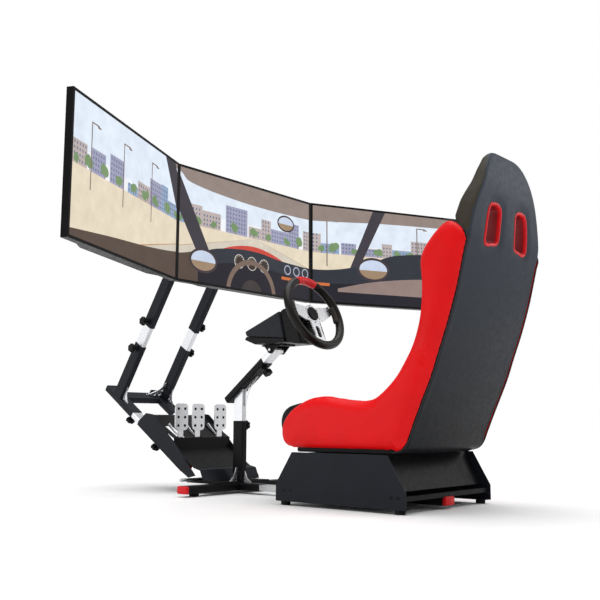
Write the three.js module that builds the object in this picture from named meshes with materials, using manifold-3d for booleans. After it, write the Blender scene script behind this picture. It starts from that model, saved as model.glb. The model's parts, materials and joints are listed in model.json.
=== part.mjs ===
// Sit-down racing cabinet: a bucket seat on a steel base, a telescopic floor tube, a steering column
// with a tilting wheel base, a raised pedal box and a telescopic stand that carries three displays.
// Millimetres, +Z up. The driver faces +Y, the displays face -Y, +X is the driver's right hand side.
// Y is counted from the rear edge of the seat base, and the whole cabinet is centred at the end.

import * as THREE from 'three';
import { mergeVertices } from 'three/addons/utils/BufferGeometryUtils.js';
import Module from 'manifold-3d';

const manifold = await Module();
manifold.setup();

// ---------------------------------------------------------------- driving dimensions

const GAP = 0.3; // clearance between touching pieces
const SLIDE_GAP = 0.5; // clearance round a sliding inner tube

const TUBE_WIDE = 51;
const TUBE_THIN = 26;
const TUBE_WALL = 2;
const TUBE_CORNER = 3;
const INNER_WIDE = TUBE_WIDE - 2 * (TUBE_WALL + SLIDE_GAP);
const INNER_THIN = TUBE_THIN - 2 * (TUBE_WALL + SLIDE_GAP);
const INNER_CORNER = 2.4;

const FLOOR_TUBE_BOTTOM = 11;
const FLOOR_TUBE_TOP = FLOOR_TUBE_BOTTOM + TUBE_THIN;
const FLOOR_TUBE_MID = FLOOR_TUBE_BOTTOM + TUBE_THIN / 2;
const CROSS_HALF = 274;
const COLUMN_Y = 907;
const SLEEVE_REAR = 784;
const PAD_X = 225;
const PAD_RADIUS = 16;

const COLUMN_TOP = 264;
const COLUMN_INNER_LOW = 125;

const BASE_HALF = 246; // outer faces of the seat base side plates
const BASE_PLATE = 3;
const BASE_LENGTH = 497;
const BASE_BOTTOM = 12;
const BASE_TOP = 166;

const ARM_SLOPE = THREE.MathUtils.degToRad(37); // steering arm, above the horizontal
const ARM_OUTER_LENGTH = 231;
const PIVOT_Y = 722.5;
const PIVOT_Z = 520.5;
const ARM_LOW_Y = 957.5;
const ARM_LOW_Z = 343.4;

const WHEEL_Y = 541.5;
const WHEEL_Z = 645;
const WHEEL_TILT = THREE.MathUtils.degToRad(23.4);
const RIM_RADIUS = 130;
const RIM_THICK = 15;

const RAIL_SLOPE = THREE.MathUtils.degToRad(33); // pedal rails and stand arms
const RAIL_X = 107.5;
const RAIL_LINE = -517; // height of the rail centre line above the origin, square to the slope
const RAIL_LOW = 957; // distances along the slope from the origin
const RAIL_HIGH = 1270;
const ARM_LOW = 1325;
const ARM_HIGH = { left: 1526, right: 1502 };
const POST_ALONG = 1450;
const POST_X = RAIL_X + (TUBE_WIDE - TUBE_THIN) / 2;
const POST_BASE = RAIL_LINE + TUBE_THIN / 2;
const POST_LOWER_TOP = -263;
const POST_UPPER_LOW = -175;
const POST_UPPER_TOP = 235;

const DISPLAY_WIDE = 726;
const DISPLAY_TALL = 424;
const DISPLAY_Y = 868.5;
const DISPLAY_LOW = 749.6;
const DISPLAY_MID = DISPLAY_LOW + DISPLAY_TALL / 2;
const DISPLAY_EDGE = 22;
const DISPLAY_DEEP = 46;
const BEZEL = 9;
const BACK_LOW_INSET = 75; // from each end to the foot of the sloping back of a display housing
const BACK_INSET = 145; // from each end to the flat of that back
const WING_ANGLE = THREE.MathUtils.degToRad(25.75);
const HINGE_X = 365.5;
const HINGE_BACK = 22; // the wing hinge line lies this far behind the screens' faces
const WING_START = 9.4;
const TILT_Y = 965;

const PEDAL_X = [-105, -19, 99];
const PEDAL_Y = 1118; // front faces of the pads
const PEDAL_PIVOT_Y = PEDAL_Y + 13;
const PEDAL_PIVOT_Z = 184;
const DECK_HALF = 146;

const KNOB_RADIUS = 18.5;
const KNOB_LOBES = 6;
const KNOB_TALL = 33;
const KNOB_STEM = 17;

// ---------------------------------------------------------------- materials

const finish = (color, roughness, metalness) => new THREE.MeshStandardMaterial({ color, roughness, metalness });
const slatePaint = finish(0x2c3036, 0.45, 0.3);
const blackPaint = finish(0x141517, 0.45, 0.3);
const silver = finish(0xd9dcde, 0.3, 0.9);
const steel = finish(0x9a9da0, 0.35, 1);
const redLeather = finish(0xdd1a1c, 0.45, 0);
const blackLeather = finish(0x1b1c1f, 0.5, 0);
const blackPlastic = finish(0x121316, 0.4, 0);
const slatePlastic = finish(0x2a2e36, 0.4, 0);
const blackRubber = finish(0x1c1b19, 0.6, 0);
const screenGlass = finish(0x9fa8b4, 0.15, 0);

// ---------------------------------------------------------------- solids, joins and cuts

function solid(geometry) {
  const bare = geometry.clone();
  bare.deleteAttribute('normal');
  bare.deleteAttribute('uv');
  const merged = mergeVertices(bare, 1e-4);
  const mesh = new manifold.Mesh({
    numProp: 3,
    vertProperties: new Float32Array(merged.attributes.position.array),
    triVerts: new Uint32Array(merged.index.array),
  });
  return new manifold.Manifold(mesh);
}

function geometryOf(body) {
  const mesh = body.getMesh();
  const geometry = new THREE.BufferGeometry();
  geometry.setAttribute('position', new THREE.BufferAttribute(Float32Array.from(mesh.vertProperties), 3));
  geometry.setIndex(new THREE.BufferAttribute(Uint32Array.from(mesh.triVerts), 1));
  return geometry;
}

const join = (...parts) => parts.map(solid).reduce((whole, part) => whole.add(part));

const cut = (whole, ...tools) => tools.map(solid).reduce((rest, tool) => rest.subtract(tool), whole);

// ---------------------------------------------------------------- outlines and basic shapes

function outline(points) {
  return new THREE.Shape(points.map(([x, y]) => new THREE.Vector2(x, y)));
}

function roundedRect(wide, tall, radius) {
  const x = wide / 2;
  const y = tall / 2;
  const shape = new THREE.Shape();
  shape.absarc(x - radius, y - radius, radius, 0, Math.PI / 2);
  shape.absarc(-x + radius, y - radius, radius, Math.PI / 2, Math.PI);
  shape.absarc(-x + radius, -y + radius, radius, Math.PI, Math.PI * 1.5);
  shape.absarc(x - radius, -y + radius, radius, Math.PI * 1.5, Math.PI * 2);
  shape.closePath();
  return shape;
}

function prism(shape, depth, curveSegments = 3) {
  return new THREE.ExtrudeGeometry(shape, { depth, bevelEnabled: false, curveSegments });
}

// An outline in the Y-Z plane, extruded along +X from x = low to x = high.
function sidePrism(shape, low, high, curveSegments = 3) {
  const geometry = prism(shape, high - low, curveSegments);
  const toSide = new THREE.Matrix4().makeBasis(
    new THREE.Vector3(0, 1, 0),
    new THREE.Vector3(0, 0, 1),
    new THREE.Vector3(1, 0, 0),
  );
  return geometry.applyMatrix4(toSide).translate(low, 0, 0);
}

// An outline in the X-Z plane, extruded along Y from y = low to y = high.
function frontPrism(shape, low, high, curveSegments = 3) {
  return prism(shape, high - low, curveSegments).rotateX(Math.PI / 2).translate(0, high, 0);
}

function box(x, y, z) {
  return new THREE.BoxGeometry(x[1] - x[0], y[1] - y[0], z[1] - z[0])
    .translate((x[0] + x[1]) / 2, (y[0] + y[1]) / 2, (z[0] + z[1]) / 2);
}

// A cylinder along local Z, from z = low to z = high.
function rod(radius, low, high, sides = 16) {
  return new THREE.CylinderGeometry(radius, radius, high - low, sides)
    .rotateX(Math.PI / 2)
    .translate(0, 0, (low + high) / 2);
}

function crossRod(radius, half, y, z, sides = 16) {
  return rod(radius, -half, half, sides).rotateY(Math.PI / 2).translate(0, y, z);
}

// A rectangular tube section with its corners cut off, wide along local X.
function tubeSection(wide, thin, corner) {
  const x = wide / 2;
  const y = thin / 2;
  return outline([
    [x - corner, -y],
    [x, -y + corner],
    [x, y - corner],
    [x - corner, y],
    [-x + corner, y],
    [-x, y - corner],
    [-x, -y + corner],
    [-x + corner, -y],
  ]);
}

function boreSection(wide, thin) {
  const x = wide / 2 - TUBE_WALL;
  const y = thin / 2 - TUBE_WALL;
  return outline([[-x, -y], [x, -y], [x, y], [-x, y]]);
}

// A tube along local Z, open at both ends.
function tube(wide, thin, corner, low, high) {
  const section = tubeSection(wide, thin, corner);
  section.holes.push(boreSection(wide, thin));
  return prism(section, high - low).translate(0, 0, low);
}

const outerTube = (low, high) => tube(TUBE_WIDE, TUBE_THIN, TUBE_CORNER, low, high);
const innerTube = (low, high) => tube(INNER_WIDE, INNER_THIN, INNER_CORNER, low, high);
const tubeBody = (low, high) => prism(tubeSection(TUBE_WIDE, TUBE_THIN, TUBE_CORNER), high - low).translate(0, 0, low);
const tubeBore = (low, high) => prism(boreSection(TUBE_WIDE, TUBE_THIN), high - low).translate(0, 0, low);

// Turns local Z to the direction "along" and local X to "across", and moves the origin.
function frameAt(origin, across, along) {
  const x = new THREE.Vector3(...across).normalize();
  const z = new THREE.Vector3(...along).normalize();
  const y = new THREE.Vector3().crossVectors(z, x);
  return new THREE.Matrix4().makeBasis(x, y, z).setPosition(...origin);
}

const placed = (geometry, matrix) => geometry.clone().applyMatrix4(matrix);

// ---------------------------------------------------------------- scene graph

const cabinet = new THREE.Group();

function add(name, shape, material, parent = cabinet) {
  const geometry = shape.isBufferGeometry ? shape : geometryOf(shape);
  const mesh = new THREE.Mesh(geometry, material);
  mesh.name = name;
  parent.add(mesh);
  return mesh;
}

const SIDES = [['left', -1], ['right', 1]];

// Directions along the rails and square to them, and the frames of their tubes.
const railDirection = [0, Math.cos(RAIL_SLOPE), Math.sin(RAIL_SLOPE)];
const postDirection = [0, -Math.sin(RAIL_SLOPE), Math.cos(RAIL_SLOPE)];

// A point given by its distance along the rails and its height square to them.
function slopePoint(x, along, up) {
  return [
    x,
    along * railDirection[1] + up * postDirection[1],
    along * railDirection[2] + up * postDirection[2],
  ];
}

const slopeOutline = (points) => outline(points.map(([along, up]) => slopePoint(0, along, up).slice(1)));

const railFrame = (side) => frameAt(slopePoint(side * RAIL_X, 0, RAIL_LINE), [1, 0, 0], railDirection);
const postFrame = (side) => frameAt(slopePoint(side * POST_X, POST_ALONG, 0), railDirection, postDirection);

// ---------------------------------------------------------------- clamp knobs

// A star knob on its threaded stem. Local Z points out of the tube face that it clamps.
function starKnob() {
  const corners = KNOB_LOBES * 2;
  const star = Array.from({ length: corners }, (_, i) => {
    const angle = (i / corners) * Math.PI * 2;
    const radius = i % 2 ? KNOB_RADIUS - 3 : KNOB_RADIUS;
    return [radius * Math.cos(angle), radius * Math.sin(angle)];
  });
  const head = prism(outline(star), KNOB_TALL - KNOB_STEM).translate(0, 0, KNOB_STEM);
  return join(head, rod(8, 4, KNOB_STEM + 1, 8), rod(12, GAP, 5, 8));
}

function addKnob(name, origin, outward, across) {
  const mesh = add(name, starKnob(), blackPlastic);
  mesh.applyMatrix4(frameAt(origin, across, outward));
}

// ---------------------------------------------------------------- floor frame and column

function floorFrame() {
  const crossFrame = frameAt([0, COLUMN_Y, FLOOR_TUBE_MID], [0, 1, 0], [1, 0, 0]);
  const sleeveFrame = frameAt([0, 0, FLOOR_TUBE_MID], [1, 0, 0], [0, 1, 0]);
  const crossFront = COLUMN_Y + TUBE_WIDE / 2;
  const pads = SIDES.map(([, side]) => rod(PAD_RADIUS, 0, FLOOR_TUBE_BOTTOM + 1).translate(side * PAD_X, COLUMN_Y, 0));
  const body = join(
    placed(tubeBody(-CROSS_HALF, CROSS_HALF), crossFrame),
    placed(tubeBody(SLEEVE_REAR, COLUMN_Y), sleeveFrame),
    ...pads,
  );
  return cut(
    body,
    placed(tubeBore(-CROSS_HALF - 1, CROSS_HALF + 1), crossFrame),
    placed(tubeBore(SLEEVE_REAR - 1, crossFront - TUBE_WALL), sleeveFrame),
  );
}

add('floor_frame', floorFrame(), blackPaint);

const FLOOR_INNER_REAR = 330;
const FLOOR_INNER_FRONT = 926;
add(
  'floor_inner_tube',
  placed(innerTube(FLOOR_INNER_REAR, FLOOR_INNER_FRONT), frameAt([0, 0, FLOOR_TUBE_MID], [1, 0, 0], [0, 1, 0])),
  silver,
);

const columnFrame = frameAt([0, COLUMN_Y, 0], [0, 1, 0], [0, 0, 1]);
add('column_outer', placed(outerTube(FLOOR_TUBE_TOP + GAP, COLUMN_TOP), columnFrame), blackPaint);

// ---------------------------------------------------------------- pedal box

const BASE_PLATE_TOP = FLOOR_TUBE_TOP + GAP + 6;
add(
  'pedal_base_plate',
  cut(
    solid(box([-138, 138], [884, 1046], [FLOOR_TUBE_TOP + GAP, BASE_PLATE_TOP])),
    box([-TUBE_THIN / 2 - 1, TUBE_THIN / 2 + 1], [880, COLUMN_Y + TUBE_WIDE / 2 + 1], [30, 50]),
  ),
  blackPaint,
);

const HINGE_ROD_HALF = 204;
const HINGE_ROD_Y = 1006;
const HINGE_ROD_Z = BASE_PLATE_TOP + 6.5;
add('pedal_hinge_rod', crossRod(6, HINGE_ROD_HALF, HINGE_ROD_Y, HINGE_ROD_Z, 12), steel);

// One side beam: the outer rail tube with the upright cheek plate welded along its top.
function sideBeam(side) {
  const rail = placed(tubeBody(RAIL_LOW, RAIL_HIGH), railFrame(side));
  const bore = placed(tubeBore(RAIL_LOW - 1, RAIL_HIGH + 1), railFrame(side));
  const railTop = RAIL_LINE + TUBE_THIN / 2;
  const cheek = slopeOutline([
    [862, -483],
    [1035, -448],
    [1196, -432],
    [1232, -450],
    [1254, railTop + 1],
    [RAIL_LOW, railTop + 1],
    [RAIL_LOW, -516],
    [889, -511],
  ]);
  const ledge = slopeOutline([
    [RAIL_LOW + 2, railTop - 1],
    [RAIL_LOW + 2, railTop + 3],
    [1250, railTop + 3],
    [1250, railTop - 1],
  ]);
  const outer = side * (DECK_HALF + 4);
  const inner = side * (DECK_HALF + 1);
  const railSide = side * (RAIL_X + 10);
  const ordered = (a, b) => [Math.min(a, b), Math.max(a, b)];
  const beam = join(
    rail,
    sidePrism(cheek, ...ordered(inner, outer)),
    sidePrism(ledge, ...ordered(railSide, outer)),
  );
  return cut(beam, bore, crossRod(6.5, 260, HINGE_ROD_Y, HINGE_ROD_Z, 12));
}

for (const [name, side] of SIDES) {
  add(`side_beam_${name}`, sideBeam(side), slatePaint);
}

// A folded sheet along X: a chain of points in the Y-Z plane with the sheet's thickness below it.
function foldedSheet(points, thickness, half) {
  const under = points.map(([y, z], i) => {
    const before = points[Math.max(i - 1, 0)];
    const after = points[Math.min(i + 1, points.length - 1)];
    const first = new THREE.Vector2(y - before[0], z - before[1]).normalize();
    const second = new THREE.Vector2(after[0] - y, after[1] - z).normalize();
    const along = first.clone().add(second).normalize();
    const bend = Math.max(along.dot(i === 0 ? second : first), 0.5);
    return [y + (along.y * thickness) / bend, z - (along.x * thickness) / bend];
  });
  return sidePrism(outline([...points, ...under.reverse()].reverse()), -half, half);
}

const SHEET = 3;
add('heel_plate', foldedSheet([[944, BASE_PLATE_TOP + 2.5], [963, 86], [990, 92]], SHEET, DECK_HALF), slatePaint);

const deckLine = [
  [994, 92.5],
  [1110, 160],
  [1111, 199.7],
  [1126, 207],
  [1263, 284],
  [1290, 288],
];
const deckSlots = PEDAL_X.map((x) => box([x - 19, x + 19], [PEDAL_Y - 4, PEDAL_Y + 78], [190, 250]));
add('pedal_deck', cut(solid(foldedSheet(deckLine, SHEET, DECK_HALF)), ...deckSlots), blackPaint);

add('pedal_shaft', crossRod(5, DECK_HALF, PEDAL_PIVOT_Y, PEDAL_PIVOT_Z, 12), steel);

// One pedal: a perforated pad on a flat stem, a bush on the pedal shaft and a brace behind the stem.
function pedal() {
  const padHalf = 32;
  const padLow = 228;
  const padHigh = 330;
  const corner = 16;
  const padShape = roundedRect(padHalf * 2, padHigh - padLow, corner);
  for (const column of [-16.5, 16.5]) {
    for (const row of [-33, -1, 31]) {
      const hole = new THREE.Path();
      hole.absarc(column, row, 5, 0, Math.PI * 2, true);
      padShape.holes.push(hole);
    }
  }
  const pad = prism(padShape, 3, 2).rotateX(Math.PI / 2).translate(0, PEDAL_Y + 3, (padLow + padHigh) / 2);
  const stem = sidePrism(
    outline([
      [PEDAL_Y + 2.5, 300],
      [PEDAL_Y + 2.5, 204],
      [PEDAL_PIVOT_Y - 7, PEDAL_PIVOT_Z],
      [PEDAL_PIVOT_Y + 7, PEDAL_PIVOT_Z],
      [PEDAL_Y + 9, 208],
      [PEDAL_Y + 7, 300],
    ]),
    -13,
    13,
  );
  const brace = sidePrism(
    outline([[PEDAL_Y + 4, 211], [PEDAL_Y + 12, 211], [PEDAL_Y + 62, 247], [PEDAL_Y + 54, 256]]),
    -17,
    -12,
  );
  const bush = crossRod(9, 13, PEDAL_PIVOT_Y, PEDAL_PIVOT_Z, 14);
  return cut(join(pad, stem, brace, bush), crossRod(5.2, 20, PEDAL_PIVOT_Y, PEDAL_PIVOT_Z, 14));
}

['clutch_pedal', 'brake_pedal', 'throttle_pedal'].forEach((name, i) => {
  add(name, pedal(), silver).position.x = PEDAL_X[i];
});

// ---------------------------------------------------------------- seat base

function seatSide(side) {
  const plate = outline([
    [0, BASE_BOTTOM],
    [BASE_LENGTH, BASE_BOTTOM],
    [BASE_LENGTH, 66],
    [430, BASE_TOP],
    [62, BASE_TOP],
    [0, 60],
  ]);
  const [low, high] = side < 0 ? [-BASE_HALF, -BASE_HALF + BASE_PLATE] : [BASE_HALF - BASE_PLATE, BASE_HALF];
  const centre = side * (BASE_HALF - 15);
  const feet = [30, BASE_LENGTH - 30].map((y) => rod(14, 0, BASE_BOTTOM + 2).translate(centre, y, 0));
  const [tabLow, tabHigh] = side < 0 ? [-BASE_HALF + 1, -BASE_HALF + 30] : [BASE_HALF - 30, BASE_HALF - 1];
  const flange = box([tabLow, tabHigh], [4, BASE_LENGTH - 4], [BASE_BOTTOM, BASE_BOTTOM + BASE_PLATE]);
  return join(sidePrism(plate, low, high), flange, ...feet);
}

for (const [name, side] of SIDES) {
  add(`seat_side_${name}`, seatSide(side), slatePaint);
}

// The pan that bridges the side plates: a top sheet with a front and a rear skirt folded down.
const PAN_HALF = BASE_HALF - BASE_PLATE - GAP;
add(
  'seat_pan',
  foldedSheet([[34, 62], [88, BASE_TOP - 2], [404, BASE_TOP - 2], [458, 62]], BASE_PLATE, PAN_HALF),
  blackPaint,
);

// The rear outer tube along the floor with the two cross bars that tie it to the side plates.
function seatChassis() {
  const frame = frameAt([0, 0, FLOOR_TUBE_MID], [1, 0, 0], [0, 1, 0]);
  const bar = (y) => box([-PAN_HALF, PAN_HALF], [y - 12, y + 12], [FLOOR_TUBE_TOP - 1, FLOOR_TUBE_TOP + 13]);
  const body = join(placed(tubeBody(14, 490), frame), bar(22), bar(474));
  return cut(body, placed(tubeBore(13, 491), frame));
}

add('seat_chassis', seatChassis(), blackPaint);

// ---------------------------------------------------------------- bucket seat

// Rear face of the backrest and front face of its shell, from the base up.
const backRear = [[20, 169], [2, 200], [-11, 243], [-36, 296], [-81, 393], [-108, 464], [-139, 544], [-169, 636],
  [-196, 741], [-210, 789], [-221, 885], [-227, 948], [-224, 1000], [-214, 1058]];
const shellFront = [[-196, 1058], [-189, 1000], [-180, 948], [-163, 890], [-152, 840], [-176, 741], [-149, 636],
  [-119, 544], [-88, 464], [-61, 393], [-16, 296], [9, 243], [34, 200], [60, 186], [440, 186], [446, 178], [440, 169]];

function seatShell() {
  const profile = sidePrism(outline([...backRear, ...shellFront].reverse()), -222, 222);
  const front = outline([
    [-222, 160],
    [222, 160],
    [222, 809],
    [199, 885],
    [166, 948],
    [128, 1015],
    [100, 1046],
    [70, 1060],
    [-70, 1060],
    [-100, 1046],
    [-128, 1015],
    [-166, 948],
    [-199, 885],
    [-222, 809],
  ]);
  const slots = SIDES.map(([, side]) =>
    frontPrism(outline(
      [[52, 790], [60, 778], [110, 774], [122, 784], [112, 870], [100, 889], [58, 893], [46, 880]]
        .map(([x, z]) => [side * x, z]),
    ), -300, -100));
  return solid(profile).intersect(solid(frontPrism(front, -260, 460))).subtract(solid(slots[0])).subtract(solid(slots[1]));
}

add('seat_shell', seatShell(), slatePlastic);

// The side bolster: thigh wing and back wing in one, outside the cushions.
const bolsterFront = [[440, 188], [468, 196], [482, 222], [478, 256], [452, 292], [417, 318], [367, 336], [310, 341],
  [262, 336], [179, 330], [133, 332], [100, 350], [55, 387], [17, 428], [-16, 475], [-38, 532], [-50, 592],
  [-54, 663], [-51, 728], [-63, 763], [-89, 797], [-128, 830], [-149, 836]];
const bolsterRear = [[-172, 741], [-146, 636], [-116, 544], [-85, 464], [-58, 393], [-13, 296], [12, 243], [37, 200],
  [62, 188]];

// The flap of each bolster that reaches back along the side of the shell.
const flapFront = [[300, 189], [160, 260], [60, 400], [0, 540], [-60, 700], [-90, 797], [-128, 830], [-149, 836]];
const flapRear = [[-170, 824], [-196, 796], [-198, 770], [-193, 741], [-166, 636], [-136, 544], [-105, 464],
  [-78, 393], [-33, 296], [-8, 243], [5, 200], [14, 189]];

function seatBolster(side) {
  const body = sidePrism(outline([...bolsterFront, ...bolsterRear]), 180, 243);
  const flap = sidePrism(outline([...flapFront, ...flapRear]), 222 + GAP, 236);
  const both = join(body, flap);
  return side < 0 ? both.mirror([1, 0, 0]) : both;
}

for (const [name, side] of SIDES) {
  add(`seat_bolster_${name}`, seatBolster(side), redLeather);
}

const CUSHION_HALF = 179;
add(
  'seat_cushion',
  sidePrism(
    outline([[110, 188], [500, 188], [540, 205], [566, 245], [570, 280], [548, 305], [500, 317], [400, 306],
      [250, 288], [110, 282], [90, 250]]),
    -CUSHION_HALF,
    CUSHION_HALF,
  ),
  blackLeather,
);

add(
  'seat_back_pad',
  sidePrism(
    outline([[70, 287], [64, 300], [20, 372], [-10, 430], [-36, 484], [-62, 544], [-94, 636], [-114, 720],
      [-122, 752], [-140, 768], [-164, 766], [-172, 741], [-146, 636], [-116, 544], [-85, 464], [-58, 393], [-13, 296],
      [12, 250], [60, 240]]),
    -CUSHION_HALF,
    CUSHION_HALF,
  ),
  blackLeather,
);

// ---------------------------------------------------------------- steering column and arm

const armDirection = [0, -Math.cos(ARM_SLOPE), Math.sin(ARM_SLOPE)];
const armFrame = frameAt([0, ARM_LOW_Y, ARM_LOW_Z], [1, 0, 0], armDirection);

function columnInner() {
  const post = solid(placed(innerTube(COLUMN_INNER_LOW, 460), columnFrame));
  const above = placed(box([-40, 40], [-TUBE_THIN / 2 - GAP, 250], [-200, 400]), armFrame);
  return post.subtract(solid(above));
}

add('column_inner', columnInner(), silver);
add('steering_arm', placed(outerTube(0, ARM_OUTER_LENGTH), armFrame), blackPaint);

const PIVOT_DISTANCE = Math.hypot(PIVOT_Y - ARM_LOW_Y, PIVOT_Z - ARM_LOW_Z);

function armInner() {
  const body = join(
    placed(innerTube(86, PIVOT_DISTANCE - 6), armFrame),
    crossRod(12, 28, PIVOT_Y, PIVOT_Z, 18),
  );
  return cut(body, crossRod(5.4, 40, PIVOT_Y, PIVOT_Z, 18));
}

add('arm_inner', armInner(), silver);

// ---------------------------------------------------------------- wheel base

// Two ears under the wheel base straddle the arm's bush.
function tiltBracket() {
  const ear = new THREE.Shape();
  ear.moveTo(PIVOT_Y - 34, 534);
  ear.lineTo(PIVOT_Y - 12, PIVOT_Z - 8);
  ear.absarc(PIVOT_Y, PIVOT_Z, 14, Math.PI * 1.2, Math.PI * 1.9);
  ear.lineTo(PIVOT_Y + 30, 534);
  ear.closePath();
  const saddle = box([-36, 36], [PIVOT_Y - 60, PIVOT_Y + 40], [533.5, 538]);
  const ears = [[-35, -29], [29, 35]].map(([low, high]) => sidePrism(ear, low, high, 6));
  return cut(join(saddle, ...ears), crossRod(5.4, 60, PIVOT_Y, PIVOT_Z, 18));
}

add('tilt_bracket', tiltBracket(), blackPaint);
add('tilt_shaft', crossRod(5, 40, PIVOT_Y, PIVOT_Z, 18), steel);

const SHELL_HALF = 78;
const shellCorners = [[612, 538.6], [642, 652], [812, 588], [811, 556], [760, 538.6]];
const shellInside = [[600, 541.6], [636, 640], [640, 646], [806, 584], [806, 558], [758, 541.6]];
add(
  'wheel_base_shell',
  cut(
    solid(sidePrism(outline(shellCorners), -SHELL_HALF, SHELL_HALF)),
    sidePrism(outline(shellInside), -SHELL_HALF + 3, SHELL_HALF - 3),
  ),
  slatePlastic,
);

const NOSE_HALF = 74;
const noseCorners = [[641, 652.5], [624, 660], [588, 655], [538, 536], [548, 529], [610.8, 538.6]];
const wheelNormal = [0, -Math.cos(WHEEL_TILT), Math.sin(WHEEL_TILT)];
const wheelFrame = frameAt([0, WHEEL_Y, WHEEL_Z], [1, 0, 0], wheelNormal);
add(
  'wheel_base_nose',
  cut(
    solid(sidePrism(outline(noseCorners), -NOSE_HALF, NOSE_HALF)),
    sidePrism(outline([[650, 638], [620, 650], [594, 646], [549, 540], [620, 541]]), -NOSE_HALF + 3, NOSE_HALF - 3),
    placed(rod(14, -80, 0), wheelFrame),
  ),
  blackPlastic,
);

// The drive motor sits behind the nose on the wheel's axis.
add('drive_motor', placed(rod(26, -164, -108, 16), wheelFrame), steel);

// ---------------------------------------------------------------- steering wheel

const wheel = new THREE.Group();
wheel.applyMatrix4(wheelFrame);
cabinet.add(wheel);

add('wheel_rim', new THREE.TorusGeometry(RIM_RADIUS, RIM_THICK, 8, 32), blackRubber, wheel);

// Spoke plate: hub disc, two wide side spokes and a lower spoke, all in one pressing.
function spokePlate() {
  const reach = RIM_RADIUS - RIM_THICK - 1;
  const sideSpoke = (side) => prism(outline(
    [[0, 24], [86, 34], [reach - 8, 40], [reach - 1, 8], [92, -4], [50, -26], [0, -30]]
      .map(([x, y]) => [side * x, y]),
  ), 5).translate(0, 0, -14);
  const lower = prism(outline([[-26, 0], [26, 0], [20, -70], [26, -reach + 4], [-26, -reach + 4], [-20, -70]]), 5)
    .translate(0, 0, -14);
  const hub = rod(36, -14, -9, 28);
  const plate = join(hub, sideSpoke(-1), sideSpoke(1), lower);
  const window = prism(roundedRect(20, 44, 6), 10).translate(0, -72, -16);
  return cut(plate, window, rod(9, -20, 0, 18));
}

add('wheel_spokes', spokePlate(), silver, wheel);
add('wheel_shaft', join(rod(8.6, -106, -9.5, 12), rod(25, -37.5, -14.3, 16)), steel, wheel);

for (const [name, side] of SIDES) {
  const blade = outline([[26, -14], [84, 18], [92, 44], [80, 46], [26, 14]].map(([x, y]) => [side * x, y]));
  add(`paddle_${name}`, prism(blade, 4).translate(0, 0, -34), blackPlastic, wheel);
}

// ---------------------------------------------------------------- display stand

for (const [name, side] of SIDES) {
  add(`stand_inner_${name}`, placed(innerTube(1170, 1425), railFrame(side)), silver);
  add(`mast_inner_${name}`, placed(innerTube(-410, -30), postFrame(side)), silver);
}

function standFrame() {
  const barFrame = frameAt(slopePoint(0, POST_ALONG + 7, RAIL_LINE), railDirection, [1, 0, 0]);
  const solids = [placed(tubeBody(-RAIL_X, RAIL_X), barFrame)];
  const bores = [placed(tubeBore(-RAIL_X, RAIL_X), barFrame)];
  for (const [name, side] of SIDES) {
    solids.push(placed(tubeBody(ARM_LOW, ARM_HIGH[name]), railFrame(side)));
    solids.push(placed(tubeBody(POST_BASE - 1, POST_LOWER_TOP), postFrame(side)));
    bores.push(placed(tubeBore(ARM_LOW - 1, ARM_HIGH[name] + 1), railFrame(side)));
    bores.push(placed(tubeBore(POST_BASE + TUBE_WALL, POST_LOWER_TOP + 1), postFrame(side)));
  }
  return cut(join(...solids), ...bores);
}

add('stand_frame', standFrame(), slatePaint);

// The mast: both upper tubes, the tie between them and the two arms that reach the tilt shaft.
function mastUpper() {
  const solids = [];
  const bores = [];
  const tieFrame = frameAt(slopePoint(0, POST_ALONG, 190), railDirection, [1, 0, 0]);
  solids.push(placed(tubeBody(-POST_X, POST_X), tieFrame));
  for (const [, side] of SIDES) {
    solids.push(placed(tubeBody(POST_UPPER_LOW, POST_UPPER_TOP), postFrame(side)));
    bores.push(placed(tubeBore(POST_UPPER_LOW - 1, POST_UPPER_TOP + 1), postFrame(side)));
    const [, tieY, tieZ] = slopePoint(0, POST_ALONG, 190);
    const reach = new THREE.Shape();
    reach.moveTo(tieY, tieZ - 20);
    reach.lineTo(tieY, tieZ + 20);
    reach.lineTo(TILT_Y + 20, DISPLAY_MID + 18);
    reach.absarc(TILT_Y, DISPLAY_MID, 15, Math.PI / 2, Math.PI * 1.5);
    reach.lineTo(TILT_Y + 20, DISPLAY_MID - 18);
    reach.closePath();
    solids.push(sidePrism(reach, side * 60 - 4, side * 60 + 4, 8));
  }
  return cut(join(...solids), ...bores, crossRod(7.4, 80, TILT_Y, DISPLAY_MID, 18));
}

add('mast_upper', mastUpper(), slatePaint);

// ---------------------------------------------------------------- displays

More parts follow.
